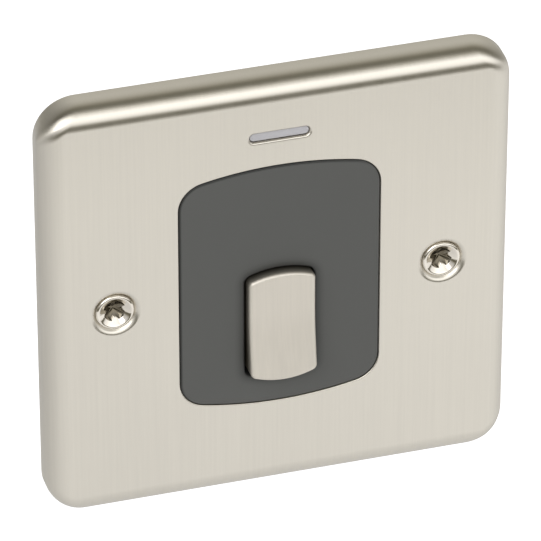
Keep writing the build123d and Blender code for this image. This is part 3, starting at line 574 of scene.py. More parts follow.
def seen(tree, rays):
    """One for what the camera sees, also through the lens."""
    return calc(tree, "MAXIMUM", rays["Is Camera Ray"], rays["Is Transmission Ray"])


# Finishes


def shader_group(name, **inputs):
    """A shader node group with these inputs, and with a colour, a roughness and a height to give out."""
    tree = bpy.data.node_groups.new(name, "ShaderNodeTree")
    for label, value in inputs.items():
        kind = "Float" if isinstance(value, float) else {3: "Vector", 4: "Color"}[len(value)]
        socket = tree.interface.new_socket(titled(label), in_out="INPUT", socket_type="NodeSocket" + kind)
        socket.default_value = value
    for label, kind in (("Color", "Color"), ("Roughness", "Float"), ("Height", "Float")):
        tree.interface.new_socket(label, in_out="OUTPUT", socket_type="NodeSocket" + kind)
    return tree, add(tree, "NodeGroupInput")


def roughened(tree, given, value):
    """The given roughness, varied by a noise value."""
    return calc(tree, "MULTIPLY", given["Roughness"], centred(tree, value, given["Roughness Swing"]))


def clouded(tree, given, relief, amount, cloud, wear):
    """Ends a shader group: a colour shaded by its relief and by clouds, a roughness varied by wear."""
    tone = calc(tree, "MULTIPLY", centred(tree, relief, amount), centred(tree, cloud, given["Cloud"]))
    shaded = add(tree, "ShaderNodeVectorMath", {0: given["Color"], "Scale": tone}, operation="SCALE")
    rough = roughened(tree, given, wear)
    add(tree, "NodeGroupOutput", {"Color": shaded[0], "Roughness": rough, "Height": relief})
    return tree


def brushed_grain():
    """Fine parallel brushing with broad soft clouds."""
    tree, given = shader_group(
        "Brushed grain", color=(0.6, 0.6, 0.6, 1.0), grain=(1.0, 1.0, 1.0), streak=0.1, cloud=0.1,
        roughness=0.35, roughness_swing=0.2,
    )
    place, fine_share = stretched(tree, given["Grain"]), 0.6
    fine = calc(tree, "MULTIPLY", noise(tree, place, scale=1.0, detail=2.0, rough=0.6), fine_share)
    broad = calc(tree, "MULTIPLY", noise(tree, place, scale=0.16, detail=2.0, rough=0.5), 1.0 - fine_share)
    streak = calc(tree, "ADD", fine, broad)
    cloud = noise(tree, here(tree), scale=45.0, detail=2.0)
    return clouded(tree, given, streak, given["Streak"], cloud, wear=streak)


def moulded_skin():
    """Fine spark-eroded skin of a plastic moulding, with faint flow clouds."""
    tree, given = shader_group(
        "Moulded skin", color=(0.5, 0.5, 0.5, 1.0), skin=(3500.0,) * 3, mottle=0.08, cloud=0.06,
        roughness=0.45, roughness_swing=0.2,
    )
    fine = noise(tree, stretched(tree, given["Skin"]), scale=1.0, detail=3.0, rough=0.6)
    flow = noise(tree, here(tree), scale=110.0, detail=3.0)
    return clouded(tree, given, fine, given["Mottle"], flow, wear=flow)


def handled_metal():
    """Plated or bare metal with fine scratches and soft patches of tarnish."""
    tree, given = shader_group(
        "Handled metal", color=(0.6, 0.6, 0.6, 1.0), stain_color=(0.3, 0.25, 0.2, 1.0),
        scratch=(2500.0, 500.0, 2500.0), stain=0.3, roughness=0.3, roughness_swing=0.5,
    )
    scratch = noise(tree, stretched(tree, given["Scratch"]), scale=1.0, detail=2.0, rough=0.6)
    patch = ranged(tree, noise(tree, here(tree), scale=420.0, detail=4.0, rough=0.6), start=0.45, stop=0.8)
    amount = calc(tree, "MULTIPLY", patch, given["Stain"])
    tone = mixed(tree, amount, given["Color"], given["Stain Color"])
    dulled = calc(tree, "MULTIPLY", amount, 0.2)
    rough = calc(tree, "ADD", roughened(tree, given, scratch), dulled)
    add(tree, "NodeGroupOutput", {"Color": tone, "Roughness": rough, "Height": scratch})
    return tree


def finish(name, group, rgb, bump, depth, shader, tangent=None, grime=0.0, soften=0.0, **values):
    """A material whose colour, roughness and relief come from a shader group, with painted shade in recesses
    where asked. Lengths are in millimetres.
    """
    material = bpy.data.materials.new(name + FINISH)
    material.diffuse_color = (*rgb, 1.0)
    tree = bare_tree(material)
    inputs = {titled(label): value for label, value in values.items()}
    effect = add(tree, "ShaderNodeGroup", {"Color": (*rgb, 1.0), **inputs}, node_tree=group)
    tone = effect["Color"]
    # Painted shade: the colour darkened and tinted where the recess attribute marks gaps and hollows
    if grime:
        hollow = add(tree, "ShaderNodeAttribute", attribute_name=SHADE_LAYER)["Fac"]
        shade_colour = (*((1.0 - grime) * warmth for warmth in SHADE_TINT), 1.0)
        tone = mixed(tree, hollow, tone, shade_colour, blend="MULTIPLY")
    relief = {"Height": effect["Height"], "Strength": bump, "Distance": depth * MM}
    if soften:
        relief["Normal"] = add(tree, "ShaderNodeBevel", {"Radius": soften * MM}, samples=6)["Normal"]
    normal = add(tree, "ShaderNodeBump", relief)["Normal"]
    surface = {"Base Color": tone, "Roughness": effect["Roughness"], "Normal": normal, **shader}
    if tangent:
        surface["Tangent"] = add(tree, "ShaderNodeCombineXYZ", dict(enumerate(tangent)))[0]
    shown = add(tree, "ShaderNodeBsdfPrincipled", surface)
    add(tree, "ShaderNodeOutputMaterial", {"Surface": shown[0]})
    return material


def finishes(settings):
    """Every finish of the switch by name."""
    grain, skin, metal = brushed_grain(), moulded_skin(), handled_metal()
    bare = {"Metallic": 1.0}
    # The rocker, the fixing screws and the insert darken their colour with painted shade in recesses
    made = {
        "brushed_steel": dict(
            group=grain, rgb=settings.steel, bump=0.05, depth=0.02, shader={**bare, "Anisotropic": 0.85},
            tangent=(1.0, 0.05, 0.0), grain=(2600.0, 1300.0, 45.0), streak=0.15, cloud=0.04,
            roughness=0.33, roughness_swing=0.35,
        ),
        "rocker_steel": dict(
            group=grain, rgb=settings.rocker, bump=0.08, depth=0.02, shader=bare, grime=0.88,
            grain=(2400.0, 1300.0, 70.0), streak=0.18, cloud=0.1, roughness=0.54, roughness_swing=0.2,
        ),
        "chrome": dict(
            group=metal, rgb=settings.chrome, bump=0.02, depth=0.01, shader=bare, grime=0.82,
            stain_color=(0.45, 0.42, 0.38, 1.0), stain=0.15, roughness=0.1, roughness_swing=0.6,
        ),
        "insert_grey": dict(
            group=skin, rgb=settings.insert, bump=0.12, depth=0.03, shader={"Specular IOR Level": 0.4},
            grime=1.0, skin=(4200.0,) * 3, mottle=0.12, cloud=0.05, roughness=0.5, roughness_swing=0.15,
        ),
        "lens": dict(
            group=skin, rgb=settings.lens, bump=0.03, depth=0.02,
            shader={"Transmission Weight": 0.25, "IOR": 1.49, "Coat Weight": 0.4, "Coat Roughness": 0.08},
            skin=(900.0,) * 3, mottle=0.05, cloud=0.06, roughness=0.22, roughness_swing=0.2,
        ),
        "white_moulding": dict(
            group=skin, rgb=settings.white, bump=0.15, depth=0.04, shader={"Specular IOR Level": 0.45},
            soften=0.25, skin=(2600.0,) * 3, mottle=0.05, cloud=0.05, roughness=0.42, roughness_swing=0.2,
        ),
        "dolly": dict(
            group=skin, rgb=settings.dolly, bump=0.1, depth=0.03, shader={"Specular IOR Level": 0.35},
            skin=(3200.0,) * 3, mottle=0.15, cloud=0.1, roughness=0.5, roughness_swing=0.2,
        ),
    }
    metals = {  # colour, colour of the tarnish, share of it, roughness
        "brass": (settings.brass, (0.36, 0.22, 0.08, 1.0), 0.4, 0.3),
        "zinc_steel": (settings.zinc, (0.42, 0.4, 0.34, 1.0), 0.45, 0.28),
        "copper": (settings.copper, (0.3, 0.14, 0.07, 1.0), 0.5, 0.34),
        "silver": (settings.silver, (0.4, 0.37, 0.3, 1.0), 0.35, 0.25),
        "spring_steel": (settings.spring, (0.25, 0.23, 0.2, 1.0), 0.3, 0.3),
    }
    for name, (rgb, stain_color, stain, rough) in metals.items():
        made[name] = dict(
            group=metal, rgb=rgb, bump=0.06, depth=0.03, shader=bare, soften=0.1,
            stain_color=stain_color, stain=stain, roughness=rough, roughness_swing=0.5,
        )
    plastics = {  # colour, roughness
        "plunger_nylon": (settings.plunger, 0.3),
        "board_green": (settings.board, 0.35),
        "lamp_white": (settings.lamp, 0.25),
        "resistor_tan": (settings.resistor, 0.3),
        "diode_black": (settings.diode, 0.35),
        "lead_brown": (settings.brown, 0.4),
        "lead_blue": (settings.blue, 0.4),
    }
    for name, (rgb, rough) in plastics.items():
        made[name] = dict(
            group=skin, rgb=rgb, bump=0.08, depth=0.03, shader={"Specular IOR Level": 0.5},
            mottle=0.08, cloud=0.12, roughness=rough, roughness_swing=0.25,
        )
    return {name: finish(name, **values) for name, values in made.items()}


def material_of(slot):
    """The finish that was made for a material slot."""
    found = bpy.data.materials.get(slot + FINISH)
    if found is None:
        raise RuntimeError(f"the finish {slot} has to be made first")
    return found


# Geometry node trees


def geometry_tree(name, **inputs):
    """A geometry node tree with named inputs, and the sockets that give them."""
    tree = bpy.data.node_groups.new(name, "GeometryNodeTree")
    for label, kind in {"geometry": "Geometry", **inputs}.items():
        tree.interface.new_socket(titled(label), in_out="INPUT", socket_type="NodeSocket" + kind)
    tree.interface.new_socket("Geometry", in_out="OUTPUT", socket_type="NodeSocketGeometry")
    return tree, add(tree, "NodeGroupInput")


def dressed(tree, given, made):
    """Ends a tree with real geometry in the given finish."""
    real = add(tree, "GeometryNodeRealizeInstances", {0: made[0]})
    shown = add(tree, "GeometryNodeSetMaterial", {"Geometry": real[0], "Material": given["Finish"]})
    add(tree, "NodeGroupOutput", {0: shown[0]})
    return tree


def copies_tree():
    """Copies of an object on points, each turned about its own axis by the points' turn attribute."""
    tree, given = geometry_tree(COPIES, copy="Object", finish="Material")
    source = add(tree, "GeometryNodeObjectInfo", {"Object": given["Copy"]}, transform_space="ORIGINAL")
    turn = add(tree, "GeometryNodeInputNamedAttribute", {"Name": "turn"}, data_type="FLOAT")
    euler = add(tree, "ShaderNodeCombineXYZ", {"Y": turn["Attribute"]})
    rotation = add(tree, "FunctionNodeEulerToRotation", {0: euler[0]})
    inputs = {"Points": given["Geometry"], "Instance": source["Geometry"]}
    made = add(tree, "GeometryNodeInstanceOnPoints", {**inputs, "Rotation": rotation[0]})
    return dressed(tree, given, made)


def spring_tree():
    """A coil of round wire along Y, from a front end."""
    tree, given = geometry_tree(
        "Coil spring", turns="Float", mean_radius="Float", wire_radius="Float", height="Float",
        front_end="Vector", finish="Material",
    )
    radii = {"Start Radius": given["Mean Radius"], "End Radius": given["Mean Radius"]}
    inputs = {"Resolution": 28, "Rotations": given["Turns"], "Height": given["Height"], **radii}
    coil = add(tree, "GeometryNodeCurveSpiral", inputs)
    wire = add(tree, "GeometryNodeCurvePrimitiveCircle", {"Resolution": 10, "Radius": given["Wire Radius"]})
    inputs = {"Curve": coil[0], "Profile Curve": wire[0], "Fill Caps": True}
    tube = add(tree, "GeometryNodeCurveToMesh", inputs)
    inputs = {"Geometry": tube[0], "Translation": given["Front End"], "Rotation": (-pi / 2, 0.0, 0.0)}
    stand = add(tree, "GeometryNodeTransform", inputs)
    return dressed(tree, given, add(tree, "GeometryNodeSetShadeSmooth", {0: stand[0]}))


def grown(name, mesh, tree, **values):
    """A plain mesh that a geometry node tree makes from a mesh."""
    piece = placed(mesh, name)
    modifier = piece.modifiers.new(tree.name, "NODES")
    modifier.node_group = tree
    keys = {item.name: item.identifier for item in tree.interface.items_tree if item.in_out == "INPUT"}
    for label, value in values.items():
        modifier[keys[titled(label)]] = value
    return baked(piece)


def copies(name, source, places, material):
    """Copies of a helper object at places, each place with a turn."""
    points = bpy.data.meshes.new(name)
    points.from_pydata([place for place, _ in places], [], [])
    turns = points.attributes.new("turn", "FLOAT", "POINT")
    turns.data.foreach_set("value", [turn for _, turn in places])
    tree = bpy.data.node_groups.get(COPIES) or copies_tree()
    piece = grown(name, points, tree, copy=source, finish=material)
    discard(source)
    return piece


# The pieces


def rest_turn(rocker):
    """The turn that takes the rocker from the middle of its throw to the off position."""
    pivot = Vector((0.0, rocker.pivot_depth, rocker.pivot_rise))
    return Matrix.Translation(pivot) @ Matrix.Rotation(-rocker.tilt, 4, "X") @ Matrix.Translation(-pivot)


def window_outline(window, grow):
    """The window's outline, grown all round."""
    points = barrel(
        window.width + 2 * grow, window.height + 2 * grow, window.end + grow, window.corner + grow,
        sides=4, corners=12,
    )
    return moved(points, z=window.rise)


def slot_outline(lamp, grow):
    """The lamp slot's outline inside its lip, grown all round."""
    grow -= lamp.turned
    points = rounded_box(lamp.width + 2 * grow, lamp.height + 2 * grow, lamp.height / 2 + grow, steps=10)
    return moved(points, z=lamp.rise)


def rocker_outline(rocker, side, end):
    """The rocker's outline, grown at its sides and ends."""
    points = barrel(
        rocker.width + 2 * side, rocker.height + 2 * end, rocker.end + side, rocker.corner + side, corners=6
    )
    return moved(points, z=rocker.pivot_rise)


def eased_edge(plate):
    """The plate's edge from the face to the rim: a broad easing and then a tighter bend."""
    a = plate.ease_turn
    bend = (plate.edge - plate.ease * (1 - cos(a))) / cos(a)
    inset, drop = bend * (1 - sin(a)), plate.ease * (1 - cos(a))
    eases, bends = spaced(0.0, a, steps=6), spaced(a, pi / 2, steps=16)[1:]
    points = [(inset + plate.ease * (sin(a) - sin(n)), plate.ease * (1 - cos(n))) for n in eases]
    return points + [(bend * (1 - sin(n)), drop + bend * (cos(a) - cos(n))) for n in bends]


def plate_mesh(plate, window, lamp):
    """The plate's sheet: face, rounded edge, turned rim, dimples, window and lamp slot."""
    bm = bmesh.new()
    face, back = -plate.depth, plate.sheet - plate.depth
    eased = eased_edge(plate)
    section = [(eased[0][0] + SUPPORT, face)] + [(d, face + y) for d, y in eased]
    section += [(d, -y) for d, y in quarter(plate.rim, steps=3)]
    section += [(plate.sheet - d, -y) for d, y in quarter(plate.rim, steps=3, reverse=True)]
    section += [(plate.sheet + d, back + y) for d, y in quarter(plate.edge - plate.sheet, steps=10)]
    section += [(plate.edge + SUPPORT, back)]
    rings = []
    for inset, y in section:
        side = plate.width - 2 * inset
        rings.append(ring(bm, rounded_box(side, side, plate.corner - TIGHTEN * inset, steps=16), y))

    def punched(radius):
        edge = [(d, face + y) for d, y in quarter(radius, steps=6, reverse=True)]
        return [(radius + SUPPORT, face)] + edge + [(0.0, back)]

    holes = [
        [ring(bm, window_outline(window, grow), y) for grow, y in punched(plate.cut)],
        [ring(bm, slot_outline(lamp, grow), y) for grow, y in punched(lamp.lip)],
    ]
    seat_depth, skin = plate.dimple - plate.hole, plate.sheet * sqrt(2)
    mouth = plate.dimple + plate.lip * tan(pi / 8)
    lips = spaced(0.0, pi / 4, steps=12)
    dimple = [(mouth + SUPPORT, face)]
    dimple += [(mouth - plate.lip * sin(a), face + plate.lip * (1 - cos(a))) for a in lips]
    dimple += [(plate.hole, face + seat_depth), (plate.hole + skin, face + seat_depth)]
    dimple += [(plate.dimple + skin - plate.sheet, back)]
    for side in (-1, 1):
        middle = side * plate.spacing / 2
        holes.append([ring(bm, moved(circle(r, count=48), x=middle), y) for r, y in dimple])
    for rows in (rings, *holes):
        join(bm, rows)
    for end in (0, -1):
        fill(bm, rings[end], *(hole[end] for hole in holes))
    return bm


def overhung(k, loop):
    """How much painted shadow the plate's edge casts on this point of an outline: most at the upper left."""
    along = loop[(k + 1) % len(loop)].co - loop[k - 1].co
    out = Vector((along.z, 0.0, -along.x)).normalized()
    if out.dot(loop[k].co) < 0:
        out = -out
    return min(max(out.z - out.x, 0.0), 1.0) * OVERHANG


def insert_mesh(plate, window, rocker):
    """The insert: a barrel-shaped face with a flange behind the plate and a mouth for the rocker, with
    painted shade under the plate's edge and around the mouth.
    """
    bm = bmesh.new()
    bm.verts.layers.float.new(SHADE_LAYER)
    front, step = window.recess - plate.depth, plate.sheet - plate.depth
    back, ease = step + window.flange_depth, window.edge / 2
    rounding = quarter(window.edge, steps=5, reverse=True)
    outside = [(-window.gap - window.edge - d, front) for d in (window.line, SUPPORT)]
    outside += [(-window.gap - d, front + y) for d, y in rounding]
    outside += [(-window.gap, step), (window.flange - ease, step), (window.flange, step + ease)]
    outside += [(window.flange, back - ease), (window.flange - ease, back)]
    rings = [ring(bm, moved(window_outline(window, grow), z=-window.sag), y) for grow, y in outside]
    # Painted shadow of the plate's edge along the insert's upper and left sides
    shades = [0.0, lambda k, loop: OVERHANG_INNER * overhung(k, loop)]
    mark(bm, rings, shades + [overhung] * len(rounding))
    # Painted shade around the rocker's mouth, darkest down its throat
    mouth = [(window.edge + window.halo * s, front) for s in HALO] + [(window.edge + SUPPORT, front)]
    mouth += [(d, front + y) for d, y in rounding] + [(0.0, back)]
    throat = [ring(bm, rocker_outline(rocker, rocker.side_gap + g, rocker.end_gap + g), y) for g, y in mouth]
    mark(bm, throat, [*HALO.values(), BRINK] + [MOUTH] * len(rounding) + [THROAT])
    join(bm, rings)
    join(bm, throat)
    fill(bm, rings[0], throat[0])
    fill(bm, rings[-1], throat[-1])
    return bm


def rocker_mesh(rocker):
    """The rocker's cap: a dished face with rounded edges and a thin skirt, with painted shade down its edges
    and sides.
    """

    def dished(reach):
        slope, middle = tan(rocker.tilt), rocker.pivot_depth - reach

        def depth(x, z):
            u = abs(z - rocker.pivot_rise)
            if u < rocker.dish * sin(rocker.tilt):
                return middle - rocker.dish / cos(rocker.tilt) + sqrt(rocker.dish**2 - u**2)
            return middle - u * slope

        return depth

    bm = bmesh.new()
    bm.verts.layers.float.new(SHADE_LAYER)
    face, inner = dished(rocker.reach), dished(rocker.reach - rocker.wall)
    skirt = rocker.pivot_depth - rocker.reach + rocker.depth
    section = [(rocker.edge + SUPPORT, 0.0)] + quarter(rocker.edge, steps=8, reverse=True)
    # Painted shade on the cap, growing down its rounded edge and along its sides
    shades = [CAP_EDGE * drop / rocker.edge for _, drop in section] + [CAP_SIDE] + [CAP_DEEP] * 4
    section += [(0.0, rocker.edge + rocker.shade * part) for part in CAP_STEPS]
    section = [(d, lambda x, z, drop=drop: face(x, z) + drop) for d, drop in section]
    section += [(0.0, skirt), (rocker.wall, skirt), (rocker.wall, inner)]
    rings = [ring(bm, rocker_outline(rocker, -d, -d), y) for d, y in section]
    mark(bm, rings, shades)
    join(bm, rings)
    ladder(bm, rings[0])
    ladder(bm, rings[-1])
    return bm


def lens_mesh(plate, window, lamp):
    """The lens: a rounded tongue in the slot, a flange behind the plate and a light guide."""
    bm = bmesh.new()
    front, step = lamp.recess - plate.depth, plate.sheet - plate.depth
    back, ease = step + window.flange_depth, lamp.edge / 2
    room = lamp.gap + lamp.turned
    wide, tall = lamp.width - 2 * room, lamp.height - 2 * room
    tongue = [(lamp.edge + SUPPORT, front)]
    tongue += [(d, front + y) for d, y in quarter(lamp.edge, steps=4, reverse=True)] + [(0.0, step)]
    rows = [(wide - 2 * d, tall - 2 * d, (tall - 2 * d) / 2, y) for d, y in tongue]
    flange = (lamp.width + 2 * lamp.flange, lamp.height + 2 * lamp.flange, ease)
    guide = (lamp.width - 2 * lamp.guide_margin, lamp.height + 2 * lamp.guide_margin, ease)
    rows += [(*flange, step), (*flange, back), (*guide, back), (*guide, back + lamp.guide_depth)]
    rings = [ring(bm, moved(rounded_box(w, h, r, steps=8), z=lamp.rise), y) for w, h, r, y in rows]
    join(bm, rings)
    bm.faces.new(rings[0])
    bm.faces.new(rings[-1])
    return bm


def threaded(bm, points, radius, start, stop, pitch, core):
    """Rings of a thread along Y with flat crests and roots, run out at both ends."""
    rows = []
    for y in spaced(start, stop, int(round((stop - start) / pitch * THREAD_ROWS))):
        run = max(min(1.0, (y - start) / pitch, (stop - y) / pitch), 0.0)
        turned = []
        for a in (atan2(z, x) for x, z in points):
            wave = abs(2 * ((y / pitch - a / (2 * pi)) % 1.0) - 1)
            thread = radius - (radius - core) * min(max(FLANK * wave - CREST, 0.0), 1.0)
            r = core + (thread - core) * run
            turned.append((r * cos(a), r * sin(a)))
        rows.append(ring(bm, turned, y))
    return rows


def fixing_screw_mesh(screw, plate):
    """A countersunk screw around the Y axis: rounded rim, dished top, cross recess with painted shade, thin
    neck and thread.
    """
    bm = bmesh.new()
    bm.verts.layers.float.new(SHADE_LAYER)
    face, top = screw.sink - plate.depth, screw.level - plate.depth
    crest, slope = screw.head - screw.bend, tan(screw.dish)
    span = screw.cross / 2
    collar, tip = span * COLLAR, face + screw.reach
    mouth = cross(screw.wing, span)
    around = spread(mouth, collar)

    def crown(x, z):
        inward = crest - hypot(x, z)
        if inward < screw.ease:
            return top + slope * inward**2 / (2 * screw.ease)
        return top + slope * (inward - screw.ease / 2)

    def floor(x, z):
        return top + screw.recess * (CROSS_FALL + CROSS_FALL * (1 - hypot(x, z) / span))

    def between(s):
        return [(a + (c - a) * s, b + (d - b) * s) for (a, b), (c, d) in zip(mouth, around)]

    rows = [(cross(screw.wing * CROSS_FOOT, span * CROSS_TAPER), floor)]
    bevelled = cross(screw.wing - 2 * CROSS_BEVEL, span - CROSS_BEVEL)
    rows.append((bevelled, lambda x, z: crown(x, z) + CROSS_BEVEL))
    rows += [(between(s), crown) for s in spaced(0.0, 1.0, steps=4)]
    rows += [(spread(mouth, collar + (crest - collar) * s), crown) for s in CROWN]
    bends = spaced(0.0, pi / 2, steps=9)[1:]
    rim = [(crest + screw.bend * sin(n), top + screw.bend * (1 - cos(n))) for n in bends]
    rim += [(screw.head, face), (screw.neck, face + screw.head - screw.neck), (screw.neck, -THREAD_GAP)]
    rows += [(spread(mouth, r), y) for r, y in rim]
    rings = [ring(bm, points, y) for points, y in rows]
    # Painted shade in the cross recess, darkest on its floor and pit
    mark(bm, rings, (CROSS_FLOOR, CROSS_MOUTH))
    core = screw.thread - FIXING_DEPTH * screw.pitch
    rings += threaded(bm, spread(mouth, screw.neck), screw.thread, 0.0, tip - TIP, screw.pitch, core)
    rings.append(ring(bm, spread(mouth, core - TIP), tip))
    join(bm, rings)
    ends = ring(bm, [(0.0, 0.0)], top + CROSS_PIT * screw.recess) + ring(bm, [(0.0, 0.0)], tip)
    mark(bm, [ends[:1]], [CROSS_FLOOR])
    for loop, point in zip((rings[0], rings[-1]), ends):
        for k, vert in enumerate(loop):
            bm.faces.new((vert, loop[(k + 1) % len(loop)], point))
    return bm


def slotted_screw(name, screw, head, height, shank, reach, pitch=0.0):
    """A slotted cheese-head screw around the Y axis, with its head standing on the level nought."""
    bm = bmesh.new()
    count, bevel, foot = 40, screw.bevel, screw.bevel * HEAD_FOOT
    rows = [(head - bevel, height), (head, height - bevel), (head, foot), (head - foot, 0.0)]
    core = shank - REAR_DEPTH * pitch
    rows += [(core, 0.0)] if pitch else [(core, 0.0), (core, -reach)]
    rows = [ring(bm, circle(r, count), y) for r, y in rows]
    if pitch:
        rows += threaded(bm, circle(1.0, count), shank, -reach, -THREAD_GAP, pitch, core)[::-1]
    join(bm, rows)
    bm.faces.new(rows[0])
    bm.faces.new(rows[-1])
    piece = shaped(bm, name)
    cutter = bmesh.new()
    half, above = screw.slot / 2, height + screw.slot_depth
    inner, outer = height - bevel * SLOT_INNER, height + bevel * SLOT_OUTER
    right = [(half, height - screw.slot_depth), (half, inner), (half + bevel, outer), (half + bevel, above)]
    profile = [(-right[0][0], right[0][1])] + right + [(-z, y) for z, y in right[:0:-1]]
    ends = [[cutter.verts.new((side * 2 * head, y, z)) for z, y in profile] for side in (-1, 1)]
    join(cutter, ends)
    for loop in ends:
        cutter.faces.new(loop)
    blade = shaped(cutter, name + "_slot")
    cut = piece.modifiers.new("Slot", "BOOLEAN")
    cut.object, cut.operation, cut.solver = blade, "DIFFERENCE", "EXACT"
    baked(piece)
    discard(blade)
    smoothed(piece.data)
    return piece


def four(x, z, rise=0.0):
    """Four places around a middle at this height."""
    return [(i * x, rise + k * z) for i in (-1, 1) for k in (-1, 1)]


def aimed(data, azimuth, elevation, distance, target=(0.0, 0.0, 0.0)):
    """A camera or a light that looks at a target from an azimuth and an elevation."""
    out = Vector((sin(azimuth) * cos(elevation), -cos(azimuth) * cos(elevation), sin(elevation)))
    piece = placed(data, data.name)
    piece.location = out * distance + Vector(target)
    piece.rotation_euler = out.to_track_quat("Z", "Y").to_euler()
    return piece


# Operators


class MakeFinishes(Operator):
    """Make every finish of the switch"""

    bl_idname = "switch_looks.finishes"
    bl_label = "Finishes"

    def execute(self, context):
        made = finishes(context.scene.switch_finish)
        slots = {entry["slot"] for entry in frame["record"]["materials"]}
        if slots - set(made):
            raise RuntimeError(f"no finish for {sorted(slots - set(made))}")
        for entry in frame["record"]["subparts"]:
            need(entry["node"])
            paint(frame["nodes"][entry["node"]].data, made[entry["material_slot"]])
        return {"FINISHED"}


class BuildPlate(Operator):
    """Build the pressed front plate"""

    bl_idname = "switch_looks.plate"
    bl_label = "Front plate"

    def execute(self, context):
        scene = context.scene
        bm = plate_mesh(scene.switch_plate, scene.switch_insert, scene.switch_lamp)
        seat(shaped(bm, "plate_sheet"), "housing", "brushed_steel", "front_plate")
        return {"FINISHED"}


class BuildInsert(Operator):
    """Build the grey insert"""

    bl_idname = "switch_looks.insert"
    bl_label = "Insert"

    def execute(self, context):
        scene = context.scene
        bm = insert_mesh(scene.switch_plate, scene.switch_insert, scene.switch_rocker)
        seat(shaped(bm, "insert_moulding"), "housing", "insert_grey", "insert")
        return {"FINISHED"}


class BuildRocker(Operator):
    """Build the rocker's metal cap in the off position"""

    bl_idname = "switch_looks.rocker"
    bl_label = "Rocker cap"

    def execute(self, context):
        rocker = context.scene.switch_rocker
        bm = rocker_mesh(rocker)
        bm.transform(rest_turn(rocker))
        seat(shaped(bm, "rocker_shell"), "rocker", "rocker_steel", "rocker_cap")
        return {"FINISHED"}


class BuildLens(Operator):
    """Build the pilot lamp's lens"""

    bl_idname = "switch_looks.lens"
    bl_label = "Pilot lens"

    def execute(self, context):
        scene = context.scene
        bm = lens_mesh(scene.switch_plate, scene.switch_insert, scene.switch_lamp)
        seat(shaped(bm, "lens_moulding"), "housing", "lens", "pilot_lens")
        return {"FINISHED"}


class BuildFixingScrews(Operator):
    """Build the two dished fixing screws"""

    bl_idname = "switch_looks.fixing_screws"
    bl_label = "Fixing screws"

    def execute(self, context):
        screw, plate = context.scene.switch_screws, context.scene.switch_plate
        source = shaped(fixing_screw_mesh(screw, plate), "fixing_screw_source")
        half = plate.spacing / 2
        places = [((-half, 0.0, 0.0), screw.turn_left), ((half, 0.0, 0.0), screw.turn_right)]
        piece = copies("fixing_screw_pair", source, places, material_of("chrome"))
        seat(piece, "housing", "chrome", "fixing_screws")
        return {"FINISHED"}


class BuildRearScrews(Operator):
    """Build the slotted screws at the back"""

    bl_idname = "switch_looks.rear_screws"
    bl_label = "Rear screws"

    def execute(self, context):
        screw = context.scene.switch_screws
        rise = context.scene.switch_rocker.pivot_rise / MM
        clamp = dict(head=2.8, height=2.1, shank=1.9, reach=2.7, pitch=0.6)
        # Sizes, level of the head's foot and places of each group, in millimetres
        groups = {
            "carrier_screws": (dict(head=2.4, height=1.2, shank=1.2, reach=2.8), -0.6, four(31.0, 31.0)),
            "base_screws": (dict(head=2.7, height=1.7, shank=1.4, reach=6.8), 4.8, four(19.4, 19.0, rise)),
            "terminal_screws": (clamp, 18.433, four(9.0, 18.9, rise)),
            "earth_screw": (clamp, 7.7, [(-27.5, 21.7)]),
        }
        for node, (sizes, level, spots) in groups.items():
            sizes = {name: size * MM for name, size in sizes.items()}
            source = slotted_screw(node + "_source", screw, **sizes)
            places = [((x * MM, level * MM, z * MM), turn) for (x, z), turn in zip(spots, SLOT_TURNS)]
            piece = copies(node + "_set", source, places, material_of("zinc_steel"))
            seat(piece, "housing", "zinc_steel", node)
        return {"FINISHED"}


class BuildSprings(Operator):
    """Build the springs behind the plungers"""

    bl_idname = "switch_looks.springs"
    bl_label = "Springs"

    def execute(self, context):
        spring, rocker = context.scene.switch_springs, context.scene.switch_rocker
        tree, turn = spring_tree(), rest_turn(rocker)
        for pole, side in POLES.items():
            name = f"coil_{pole}"
            front = Vector((side * spring.pole, spring.start, rocker.pivot_rise))
            piece = grown(
                name, bpy.data.meshes.new(name), tree, turns=float(spring.turns), mean_radius=spring.mean,
                wire_radius=spring.wire, height=spring.height, front_end=front,
                finish=material_of("spring_steel"),
            )
            piece.data.transform(turn)
            seat(piece, "rocker", "spring_steel", f"spring_{pole}")
            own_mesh(piece)
        return {"FINISHED"}


